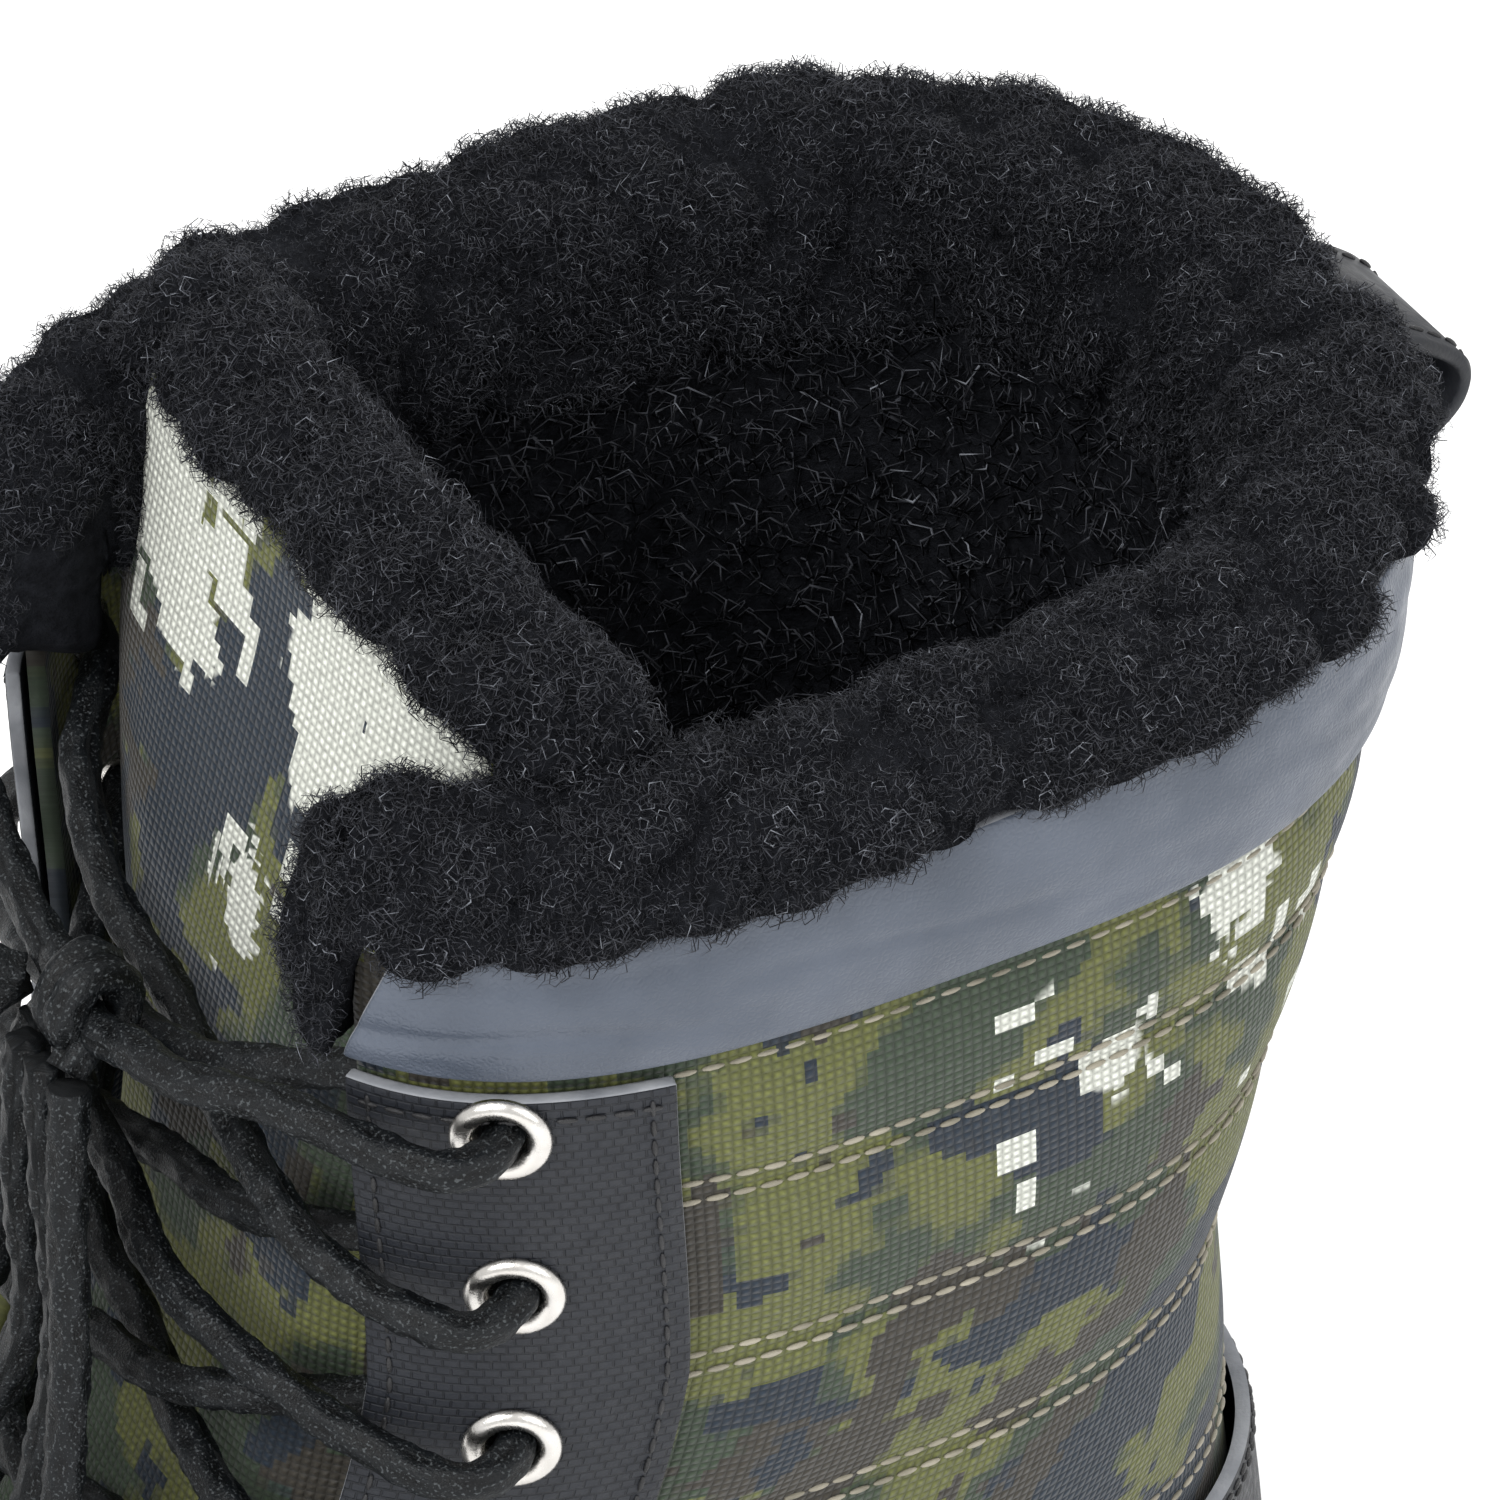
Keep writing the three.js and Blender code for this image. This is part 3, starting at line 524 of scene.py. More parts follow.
@dataclass(frozen=True)
class CamoCanvas:
    """Coarse woven canvas printed with a jagged four-colour camouflage and off-white fragments, its weave
    painted darker in its hollows as painted shade.
    """

    name: str = "camo canvas"
    cell: float = 1.05
    shift: Rgb = (0.0, 0.0, 0.0)
    white_spots: tuple[tuple[float, float, float, float], ...] = ()
    white_edge: float = 0.5
    white_pull: float = 0.45
    fleck_edge: float = 0.58
    navy: Rgb = (0.005, 0.015, 0.029)
    green: Rgb = (0.030, 0.050, 0.026)
    olive: Rgb = (0.118, 0.128, 0.030)
    brown: Rgb = (0.034, 0.029, 0.020)
    white: Rgb = (0.74, 0.76, 0.68)

    def _patches(self, t: "Tree", place: object, shift: Rgb, scale: float, edge: float) -> Socket:
        """1 inside one colour's jagged patches and 0 outside them."""
        return t.step(t.noise(t.vector("ADD", place, shift), scale, 3, 0.6), edge)

    def _near_spots(self, t: "Tree") -> Socket:
        """1 in the middles of the off-white spots, falling to 0 at their rims."""
        most = None
        for x, y, z, radius in self.white_spots:
            apart = t.add("VectorMath", operation="DISTANCE")
            t.put(apart.inputs[0], t.place())
            t.put(apart.inputs[1], (x, y, z))
            near = t.math("SUBTRACT", 1.0, t.math("DIVIDE", apart.outputs["Value"], radius))
            most = near if most is None else t.math("MAXIMUM", most, near)
        return most

    def make(self) -> Material:
        """Builds the material."""
        t = Tree(self.name)
        base = t.cloth_place()
        place = t.vector("ADD", base, self.shift)
        blocky = t.vector("SNAP", place, (1.3, 1.3, 1.3))
        ragged = t.vector("SNAP", place, (2.2, 2.2, 2.2))
        split = t.add("SeparateXYZ")
        t.put(split.inputs[0], base)
        across = t.math("SINE", t.math("MULTIPLY", split.outputs[0], TAU / 2 / self.cell))
        along = t.math("SINE", t.math("MULTIPLY", split.outputs[1], TAU / 2 / self.cell / 0.9))
        weave = t.math("MULTIPLY", across, along)
        height = t.math("ABSOLUTE", weave)
        colour = t.mix(t.step(t.noise(blocky, 0.045, 3, 0.55), 0.5, 0.02), self.green, self.olive)
        colour = t.mix(self._patches(t, blocky, (91, 17, 5), 0.038, 0.545), colour, self.navy)
        colour = t.mix(self._patches(t, blocky, (-40, 63, 9), 0.05, 0.6), colour, self.brown)
        near = self._near_spots(t)
        ground = t.math("MULTIPLY", t.math("MAXIMUM", near, 0.0), self.white_pull)
        large = t.noise(t.vector("ADD", blocky, (12, -35, 2)), 0.07, 3, 0.62)
        small = t.noise(t.vector("ADD", ragged, (7, 80, 3)), 0.16, 1, 0.5)
        patch = t.step(t.math("ADD", large, ground), self.white_edge + 0.22)
        fleck = t.step(t.math("ADD", small, t.math("MULTIPLY", ground, 0.5)), self.fleck_edge + 0.12)
        white = t.math("MULTIPLY", t.math("MAXIMUM", patch, fleck), t.step(near, 0.04, 0.02))
        colour = t.mix(white, colour, self.white)
        # Painted shade: the weave's hollows are darkened and its thread tops lightened in the colour, times a
        # random tone.
        painted_weave_shade = t.math("ADD", t.math("MULTIPLY", height, 0.5), 0.52)
        shade = t.math("MULTIPLY", painted_weave_shade, t.spread(t.noise(base, 1.4, 1), 0.82, 1.2))
        grey = t.add("CombineColor")
        for i in range(3):
            t.put(grey.inputs[i], shade)
        colour = t.mix(1.0, colour, grey.outputs[0], "MULTIPLY")
        t.put(t.shader.inputs["Base Color"], colour)
        t.put(t.shader.inputs["Roughness"], t.spread(t.noise(base, 0.8), 0.62, 0.85))
        t.shader.inputs["Sheen Weight"].default_value = 0.12
        t.shader.inputs["Sheen Roughness"].default_value = 0.4
        t.bump(t.math("ADD", height, t.math("MULTIPLY", t.noise(base, 2.2), 0.35)), 0.00028, 0.9)
        return t.material


@dataclass(frozen=True)
class SmoothLeather:
    """Satin slate-black leather with a fine grain and faint creases."""

    name: str = "collar leather"
    dark: Rgb = (0.052, 0.065, 0.090)
    light: Rgb = (0.080, 0.096, 0.128)

    def make(self) -> Material:
        """Builds the material."""
        t = Tree(self.name)
        base = t.place()
        cells = t.add("TexVoronoi", feature="DISTANCE_TO_EDGE")
        t.put(cells.inputs["Vector"], base)
        cells.inputs["Scale"].default_value = 1.5
        grain = t.math("MINIMUM", cells.outputs["Distance"], 0.3)
        mottle = t.spread(t.noise(base, 0.07, 4), 0, 1)
        t.put(t.shader.inputs["Base Color"], t.mix(mottle, self.dark, self.light))
        t.put(t.shader.inputs["Roughness"], t.spread(t.noise(base, 0.25, 3), 0.36, 0.52))
        fine = t.math("ADD", t.math("MULTIPLY", grain, 1.2), t.math("MULTIPLY", t.noise(base, 0.5, 4), 0.9))
        t.bump(fine, 0.00022, 0.55)
        return t.material


@dataclass(frozen=True)
class EmbossedLeather:
    """Black leather pressed with small raised bricks, the brick tops painted lighter than the grooves as
    painted highlight and shade, its cut edges paler.
    """

    name: str = "facing leather"
    brick: tuple[float, float] = (1.55, 1.05)
    dark: Rgb = (0.0055, 0.0066, 0.0092)
    light: Rgb = (0.012, 0.0138, 0.0182)

    def make(self) -> Material:
        """Builds the material."""
        t = Tree(self.name)
        base = t.cloth_place()
        bricks = t.add("TexBrick", offset=0.5, squash=1.0)
        t.put(bricks.inputs["Vector"], base)
        for name, value in (("Scale", 1.0), ("Mortar Size", 0.16), ("Mortar Smooth", 0.6), ("Bias", 0.0)):
            bricks.inputs[name].default_value = value
        bricks.inputs["Brick Width"].default_value = self.brick[0]
        bricks.inputs["Row Height"].default_value = self.brick[1]
        raised = t.math("SUBTRACT", 1.0, bricks.outputs["Fac"])
        mottle = t.spread(t.noise(base, 0.5, 3), 0, 1)
        colour = t.mix(mottle, self.dark, self.light)
        # Painted highlight and shade: the raised brick tops are painted lighter and the grooves between them
        # stay darker.
        colour = t.mix(t.math("MULTIPLY", raised, 0.55), colour, (0.019, 0.0215, 0.028))
        t.put(t.shader.inputs["Base Color"], colour)
        t.put(t.shader.inputs["Roughness"], t.spread(t.noise(base, 0.6), 0.42, 0.62))
        t.shader.inputs["Specular IOR Level"].default_value = 0.32
        t.bump(t.math("ADD", raised, t.math("MULTIPLY", t.noise(base, 3.0, 3), 0.4)), 0.0002, 0.8)
        return t.material


@dataclass(frozen=True)
class Plain:
    """A finish of two close colours, mottled, with its own grain and gloss."""

    name: str
    dark: tuple[float, float, float]
    light: tuple[float, float, float]
    roughness: tuple[float, float] = (0.5, 0.7)
    metal: float = 0.0
    patch: float = 0.2
    grain: float = 1.5
    relief: float = 0.0001
    sheen: float = 0.0

    def make(self) -> Material:
        """Builds the material."""
        t = Tree(self.name)
        base = t.place()
        mottle = t.spread(t.noise(base, self.patch, 3), 0, 1)
        t.put(t.shader.inputs["Base Color"], t.mix(mottle, self.dark, self.light))
        t.put(t.shader.inputs["Roughness"], t.spread(t.noise(base, self.patch * 2, 2), *self.roughness))
        t.shader.inputs["Metallic"].default_value = self.metal
        t.shader.inputs["Sheen Weight"].default_value = self.sheen
        t.bump(t.noise(base, self.grain, 4), self.relief)
        return t.material


@dataclass(frozen=True)
class FleeceBase:
    """The dark woolly ground that the pile stands on."""

    name: str = "fleece ground"

    def make(self) -> Material:
        """Builds the material."""
        t = Tree(self.name)
        base = t.place()
        mottle = t.spread(t.noise(base, 0.5, 5, 0.7), 0, 1)
        colour = t.mix(mottle, (0.006, 0.0064, 0.008), (0.024, 0.026, 0.032))
        t.put(t.shader.inputs["Base Color"], colour)
        t.shader.inputs["Roughness"].default_value = 0.95
        t.shader.inputs["Specular IOR Level"].default_value = 0.05
        t.bump(t.noise(base, 1.3, 5, 0.75), 0.0016)
        return t.material


@dataclass(frozen=True)
class FleecePile:
    """Curly fibres, nearly all near-black with a few grey ones."""

    name: str = "fleece pile"

    def make(self) -> Material:
        """Builds the material."""
        t = Tree(self.name)
        tint = t.add("Attribute", attribute_name="tint").outputs["Fac"]
        ramp = t.add("ValToRGB")
        t.put(ramp.inputs[0], tint)
        stops = ramp.color_ramp.elements
        stops[0].color = (0.013, 0.014, 0.018, 1)
        stops[1].color = (0.26, 0.275, 0.31, 1)
        for place, grey in ((0.5, 0.036), (0.96, 0.075)):
            stops.new(place).color = (grey * 0.95, grey, grey * 1.18, 1)
        t.put(t.shader.inputs["Base Color"], ramp.outputs[0])
        t.shader.inputs["Roughness"].default_value = 0.62
        t.shader.inputs["Specular IOR Level"].default_value = 0.16
        return t.material


@dataclass(frozen=True)
class BraidedCord:
    """Black waxed braid, painted darker in its hollows as painted shade, with small painted highlights on its
    strands.
    """

    name: str = "lace cord"

    def make(self) -> Material:
        """Builds the material."""
        t = Tree(self.name)
        base = t.cloth_place()
        relief = t.add("Attribute", attribute_name="relief").outputs["Fac"]
        fine = t.noise(base, 2.6, 2)
        # Painted shade: the braid's hollows are dark and its raised strands lighter.
        colour = t.mix(relief, (0.0008, 0.001, 0.0013), (0.0062, 0.0078, 0.0095))
        # Painted highlights: small pale flecks on the strands.
        colour = t.mix(t.math("MULTIPLY", t.step(fine, 0.62, 0.05), 0.6), colour, (0.09, 0.1, 0.105))
        t.put(t.shader.inputs["Base Color"], colour)
        t.put(t.shader.inputs["Roughness"], t.spread(fine, 0.34, 0.6))
        t.shader.inputs["Specular IOR Level"].default_value = 0.22
        t.bump(t.noise(base, 3.4, 3), 0.00018, 0.9)
        return t.material


class Wardrobe:
    """Every finish, made once and handed out by record slot or own name."""

    def __init__(self) -> None:
        """Makes the materials."""
        spots = (
            (51.0, 28.0, 182.0, 24.0), (51.0, 46.0, 192.0, 22.0), (50.0, 56.0, 170.0, 14.0),
            (-50.0, 20.0, 172.0, 24.0), (-50.0, 44.0, 186.0, 18.0), (-44.0, 40.0, 128.0, 18.0),
        )
        tongue_spots = ((22.0, -32.0, 222.0, 34.0), (-26.0, -32.0, 226.0, 30.0), (4.0, -40.0, 196.0, 12.0))
        tongue = CamoCanvas(name="camo canvas tongue", shift=(210.0, 38.0, 0.0), white_spots=tongue_spots)
        made = {
            "camo_canvas": CamoCanvas(shift=(18.0, 4.0, 0.0), white_spots=spots, white_pull=0.26),
            "camo_tongue": tongue,
            "band_leather": SmoothLeather(),
            "facing_leather": EmbossedLeather(),
            "strap": Plain("pull strap", (0.006, 0.007, 0.010), (0.015, 0.017, 0.022), (0.5, 0.7), grain=1.6),
            "raw_edge": Plain("raw leather edge", (0.16, 0.17, 0.19), (0.30, 0.31, 0.33), (0.7, 0.9)),
            "black_fleece": FleeceBase(),
            "pile": FleecePile(),
            "lace_cord": BraidedCord(),
            "tan_thread": Plain(
                "tan thread", (0.17, 0.155, 0.115), (0.36, 0.33, 0.26), (0.5, 0.7), grain=6.0
            ),
            "black_thread": Plain(
                "black thread", (0.004, 0.004, 0.005), (0.018, 0.018, 0.02), (0.4, 0.6), grain=6.0
            ),
            "nickel": Plain(
                "satin nickel", (0.60, 0.575, 0.54), (0.72, 0.70, 0.67), (0.2, 0.32), 1.0, 0.4, 4.0, 0.00002
            ),
            "steel": Plain("spring steel", (0.4, 0.4, 0.41), (0.5, 0.5, 0.5), (0.3, 0.4), 1.0),
            "black_rubber": Plain(
                "black rubber", (0.010, 0.010, 0.011), (0.024, 0.024, 0.025), (0.55, 0.75), grain=2.0
            ),
            "foam": Plain(
                "midsole foam", (0.016, 0.016, 0.018), (0.032, 0.032, 0.035), (0.6, 0.8), grain=1.0
            ),
            "wadding": Plain(
                "wadding", (0.55, 0.54, 0.5), (0.7, 0.69, 0.64), (0.9, 1.0), grain=0.8, relief=0.0006
            ),
            "board": Plain("fibre board", (0.3, 0.2, 0.1), (0.42, 0.3, 0.17), (0.8, 0.9), grain=1.2),
            "aglet_plastic": Plain(
                "aglet plastic", (0.006, 0.006, 0.006), (0.012, 0.012, 0.012), (0.15, 0.25)
            ),
        }
        self._made = {name: finish.make() for name, finish in made.items()}

    def __getitem__(self, name: str) -> Material:
        """The material of that name."""
        return self._made[name]

    def with_edges(self, name: str) -> list[Material]:
        """A leather and the paler finish of its cut edges."""
        return [self[name], self["raw_edge"]]


# ----------------------------------------------------------------------------
# Mesh making
# ----------------------------------------------------------------------------
def grid_faces(rows: int, cols: int, closed: bool = False, start: int = 0) -> list[tuple[int, ...]]:
    """Four-sided faces over a grid of vertices.

    Args:
        rows: vertices down the grid.
        cols: vertices across it.
        closed: whether the last column joins the first.
        start: the index of the grid's first vertex.

    Returns:
        One tuple of four vertex numbers for each face.
    """
    r, c = np.meshgrid(np.arange(rows - 1), np.arange(cols if closed else cols - 1), indexing="ij")
    right = (c + 1) % cols
    faces = np.stack([r * cols + c, r * cols + right, (r + 1) * cols + right, (r + 1) * cols + c], -1)
    return [tuple(face) for face in (faces.reshape(-1, 4) + start).tolist()]


def make_piece(
    name: str,
    points: Array,
    faces: Sequence[Sequence[int]],
    materials: Sequence[Material],
    cloth: Array | None = None,
    values: dict[str, Array] | None = None,
    edge_faces: int = 0,
) -> Piece:
    """Makes one closed mesh object with its faces outward.

    Args:
        name: the object's name.
        points: its vertices, in millimetres.
        faces: its faces, as vertex numbers.
        materials: its finish, and the finish of its cut edges if it has one.
        cloth: each vertex's place along and across the material, in millimetres.
        values: further numbers for each vertex, by attribute name.
        edge_faces: how many of the last faces are cut edges.

    Returns:
        The new object, at the origin.
    """
    mesh = bpy.data.meshes.new(name)
    mesh.from_pydata((np.asarray(points) * MM).tolist(), [], list(faces))
    if cloth is not None:
        index = np.zeros(len(mesh.loops), int)
        mesh.loops.foreach_get("vertex_index", index)
        layer = mesh.uv_layers.new(name="cloth")
        layer.uv.foreach_set("vector", (np.asarray(cloth)[index] * MM).ravel())
    for key, numbers in (values or {}).items():
        held = mesh.attributes.new(key, "FLOAT", "POINT").data
        held.foreach_set("value", np.asarray(numbers, float).ravel())
    for material in materials:
        mesh.materials.append(material)
    flags = np.zeros(len(mesh.polygons), int)
    if edge_faces and len(materials) > 1:
        flags[-edge_faces:] = 1
    mesh.polygons.foreach_set("material_index", flags)
    shape = bmesh.new()
    shape.from_mesh(mesh)
    bmesh.ops.remove_doubles(shape, verts=shape.verts, dist=2e-6)
    bmesh.ops.dissolve_degenerate(shape, edges=shape.edges, dist=1e-6)
    bmesh.ops.recalc_face_normals(shape, faces=shape.faces)
    shape.to_mesh(mesh)
    shape.free()
    mesh.polygons.foreach_set("use_smooth", np.ones(len(mesh.polygons), bool))
    piece = bpy.data.objects.new(name, mesh)
    bpy.context.scene.collection.objects.link(piece)
    return piece


def settle(piece: Piece) -> Piece:
    """Makes a piece's modifiers part of its mesh."""
    bpy.context.view_layer.update()
    evaluated = piece.evaluated_get(bpy.context.evaluated_depsgraph_get())
    mesh = bpy.data.meshes.new_from_object(evaluated)
    piece.modifiers.clear()
    piece.data = mesh
    return piece


def soften(piece: Piece, width: float, segments: int = 2) -> None:
    """Rounds a piece's sharp edges by a width in millimetres."""
    bevel = piece.modifiers.new("soft edges", "BEVEL")
    bevel.width = width * MM
    bevel.segments = segments
    bevel.limit_method = "ANGLE"
    bevel.angle_limit = math.radians(55)
    settle(piece)


def cut_away(piece: Piece, cutter: Piece) -> None:
    """Cuts one closed mesh out of another, which keeps its finish."""
    cut = piece.modifiers.new("holes", "BOOLEAN")
    cut.operation = "DIFFERENCE"
    cut.solver = "EXACT"
    cut.object = cutter
    settle(piece)


def discard(piece: Piece) -> None:
    """Removes a helper object."""
    bpy.data.objects.remove(piece, do_unlink=True)


def flat(depth: float) -> Inset:
    """An inset that is the same all over a sheet."""
    return lambda section, angle: np.full_like(angle, depth)


def level(angle: float) -> Move:
    """An edge that stays at one angle in every section."""
    return lambda section: np.full_like(section, angle)


@dataclass(frozen=True)
class Layer:
    """A sheet of material over part of the boot's form.

    first and last are section numbers; start and end give the angles of its two side edges for
    each section; outer and inner are the insets of its faces; rows and cols are its vertices
    down and across; wrap closes it round the form; reshape moves its two faces' points.
    """

    first: float
    last: float
    start: Callable[[Array], Array]
    end: Callable[[Array], Array]
    outer: Inset
    inner: Inset
    rows: int = 60
    cols: int = 60
    wrap: bool = False
    reshape: tuple[Callable[[Array], Array], Callable[[Array], Array]] | None = None

    def grid(self, form: Form, inset: Inset, face: int = 0) -> tuple[Array, Array]:
        """The sheet's points at an inset, and their places along the cloth."""
        s = np.linspace(self.first, self.last, self.rows)
        t = np.linspace(0, 1, self.cols + 1)[:-1] if self.wrap else np.linspace(0, 1, self.cols)
        first = np.broadcast_to(self.start(s), s.shape)[:, None]
        last = np.broadcast_to(self.end(s), s.shape)[:, None]
        angle = first + (last - first) * t
        section = np.broadcast_to(s[:, None], angle.shape)
        points = form.at(section, angle, np.broadcast_to(inset(section, angle), angle.shape))
        if self.reshape is not None:
            points = self.reshape[face](points)
        across = np.linalg.norm(np.diff(points, axis=1), axis=-1).cumsum(1)
        across = np.concatenate([np.zeros((self.rows, 1)), across], 1)
        middle = points[:, points.shape[1] // 2]
        along = np.concatenate([[0], np.linalg.norm(np.diff(middle, axis=0), axis=1).cumsum()])
        cloth = np.stack([across, np.broadcast_to(-along[:, None], across.shape)], -1)
        return points, cloth

    def make(self, form: Form, name: str, materials: Sequence[Material]) -> Piece:
        """Makes the sheet as a closed mesh.

        Args:
            form: the boot's form.
            name: the piece's name.
            materials: its finish, and its cut edges' finish if it has one.

        Returns:
            The piece.
        """
        face, cloth = self.grid(form, self.outer)
        back, _ = self.grid(form, self.inner, 1)
        rows, cols = face.shape[:2]
        size = rows * cols
        faces = grid_faces(rows, cols, self.wrap) + grid_faces(rows, cols, self.wrap, size)
        edges = []
        last = cols if self.wrap else cols - 1
        for r in (0, rows - 1):
            for c in range(last):
                a, b = r * cols + c, r * cols + (c + 1) % cols
                edges.append((a, b, size + b, size + a))
        if not self.wrap:
            for c in (0, cols - 1):
                for r in range(rows - 1):
                    a, b = r * cols + c, (r + 1) * cols + c
                    edges.append((a, b, size + b, size + a))
        points = np.vstack([face.reshape(-1, 3), back.reshape(-1, 3)])
        places = np.vstack([cloth.reshape(-1, 2)] * 2)
        return make_piece(name, points, faces + edges, materials, places, edge_faces=len(edges))


def ring_frames(line: Array) -> tuple[Array, Array, Array]:
    """A line's own directions at each point: along it, and two across it that never twist."""
    along = np.gradient(line, axis=0)
    along /= np.linalg.norm(along, axis=1, keepdims=True)
    side = np.cross(along[0], (0.3, 0.2, 1.0))
    sides = [side / np.linalg.norm(side)]
    for way in along[1:]:
        side = sides[-1] - way * np.dot(sides[-1], way)
        sides.append(side / np.linalg.norm(side))
    first = np.array(sides)
    return along, first, np.cross(along, first)


def braided_cord(name: str, line: Array, diameter: float, material: Material) -> Piece:
    """Makes a round braided cord along a line.

    Args:
        name: the piece's name.
        line: its centreline, in millimetres, evenly spaced.
        diameter: its diameter in millimetres.
        material: its finish.

    Returns:
        The piece, closed at both ends.
    """
    sides = 22
    carriers = 5
    pitch = 9.5
    relief_height = 0.3
    _, across, up = ring_frames(line)
    run = np.concatenate([[0], np.linalg.norm(np.diff(line, axis=0), axis=1).cumsum()])[:, None]
    turn = np.arange(sides)[None] / sides * TAU
    phase = run / pitch * TAU
    over = np.cos(carriers * turn + phase) * 0.5 + 0.5
    under = np.cos(carriers * turn - phase) * 0.5 + 0.5
    weave = np.sin(2 * phase) * np.sin(2 * turn * carriers / 2)
    relief = np.maximum(over * (0.75 + 0.25 * weave), under * (0.75 - 0.25 * weave))
    radius = diameter / 2 + (relief - 0.75) * relief_height * 2
    rings = line[:, None] + radius[..., None] * (
        np.cos(turn)[..., None] * across[:, None] + np.sin(turn)[..., None] * up[:, None]
    )
    count = len(line)
    points = np.vstack([rings.reshape(-1, 3), line[:1], line[-1:]])
    faces = grid_faces(count, sides, True)
    for i in range(sides):
        j = (i + 1) % sides
        faces.append((i, j, count * sides))
        faces.append(((count - 1) * sides + i, (count - 1) * sides + j, count * sides + 1))
    round_by = turn * diameter / 2
    cloth = np.stack([np.broadcast_to(run, relief.shape), np.broadcast_to(round_by, relief.shape)], -1)
    cloth = np.vstack([cloth.reshape(-1, 2), np.zeros((2, 2))])
    # relief is the braid's height; the lace material also paints shade from it, darker in the hollows.
    values = {"relief": np.concatenate([relief.ravel(), [0.5, 0.5]])}
    return make_piece(name, points, faces, [material], cloth, values)


def turned(name: str, profile: Array, sides: int, material: Material, place: Move) -> Piece:
    """Makes a round piece by turning a closed profile of (radius, height) about its axis.

    Args:
        name: the piece's name.
        profile: its points, in millimetres.
        sides: how many steps round.
        material: its finish.
        place: moves points from the piece's own axes to the boot.

    Returns:
        The piece.
    """
    turn = np.arange(sides) / sides * TAU
    profile = np.asarray(profile, float)
    r, h = profile[:, 0][:, None], profile[:, 1][:, None]
    points = np.stack([r * np.cos(turn), r * np.sin(turn), np.broadcast_to(h, (len(profile), sides))], -1)
    loop = np.concatenate([points, points[:1]])
    return make_piece(name, place(loop.reshape(-1, 3)), grid_faces(len(loop), sides, True), [material])


def outlined(name: str, rings: Array, material: Material, relief: Move | None = None) -> Piece:
    """Makes a closed piece from rings of points, its ends drawn to their middles.

    Args:
        name: the piece's name.
        rings: points with axes ring, place round the ring, and three.
        material: its finish.
        relief: moves the points a little, from points to points.

    Returns:
        The piece.
    """
    count, sides = rings.shape[:2]
    middles = rings[[0, -1]].mean(1)
    points = np.vstack([rings.reshape(-1, 3), middles])
    if relief is not None:
        points = relief(points)
    faces = grid_faces(count, sides, True)
    for i in range(sides):
        j = (i + 1) % sides
        faces.append((i, j, count * sides))
        faces.append(((count - 1) * sides + i, (count - 1) * sides + j, count * sides + 1))
    return make_piece(name, points, faces, [material])


# ----------------------------------------------------------------------------
# What repeats: stitches, pile and tread lugs
# ----------------------------------------------------------------------------
class Pattern:
    """A Geometry Nodes tree with named inputs, and a way to run it on a mesh."""

    def __init__(self, name: str, inputs: Sequence[tuple[str, str]]) -> None:
        """Makes an empty tree.

        Args:
            name: the tree's name.
            inputs: each input's name and kind, after the geometry.
        """
        self.tree = bpy.data.node_groups.new(name, "GeometryNodeTree")
        face = self.tree.interface
        face.new_socket("Geometry", in_out="INPUT", socket_type="NodeSocketGeometry")
        for label, kind in inputs:
            face.new_socket(label, in_out="INPUT", socket_type="NodeSocket" + kind)
        face.new_socket("Geometry", in_out="OUTPUT", socket_type="NodeSocketGeometry")
        self.given = self.tree.nodes.new("NodeGroupInput")
        self.result = self.tree.nodes.new("NodeGroupOutput")

    def add(
        self, kind: str, inputs: dict[str | int, object] | None = None, **settings: object
    ) -> bpy.types.Node:
        """A new node with its properties and inputs set or linked."""
        node = self.tree.nodes.new(kind)
        for key, value in settings.items():
            setattr(node, key, value)
        for key, value in (inputs or {}).items():
            if isinstance(value, Socket):
                self.tree.links.new(value, node.inputs[key])
            else:
                node.inputs[key].default_value = value
        return node

    def end_with(self, geometry: Socket) -> None:
        """Realizes the instances, gives them the material and ends the tree."""
        real = self.add("GeometryNodeRealizeInstances", {"Geometry": geometry})
        dressed = self.add(
            "GeometryNodeSetMaterial",
            {"Geometry": real.outputs[0], "Material": self.given.outputs["Material"]},
        )
        self.tree.links.new(dressed.outputs[0], self.result.inputs[0])

    def run(self, piece: Piece, **values: object) -> Piece:
        """Runs the tree on a piece and makes the result its plain mesh.

        Args:
            piece: the piece whose mesh goes in.
            values: the inputs' values, with underscores for spaces.

        Returns:
            The piece.
        """
        modifier = piece.modifiers.new(self.tree.name, "NODES")
        modifier.node_group = self.tree
        for item in self.tree.interface.items_tree:
            key = item.name.replace(" ", "_")
            if item.in_out == "INPUT" and key in values:
                modifier[item.identifier] = values[key]
        settle(piece)
        piece.data.polygons.foreach_set("use_smooth", np.ones(len(piece.data.polygons), bool))
        return piece


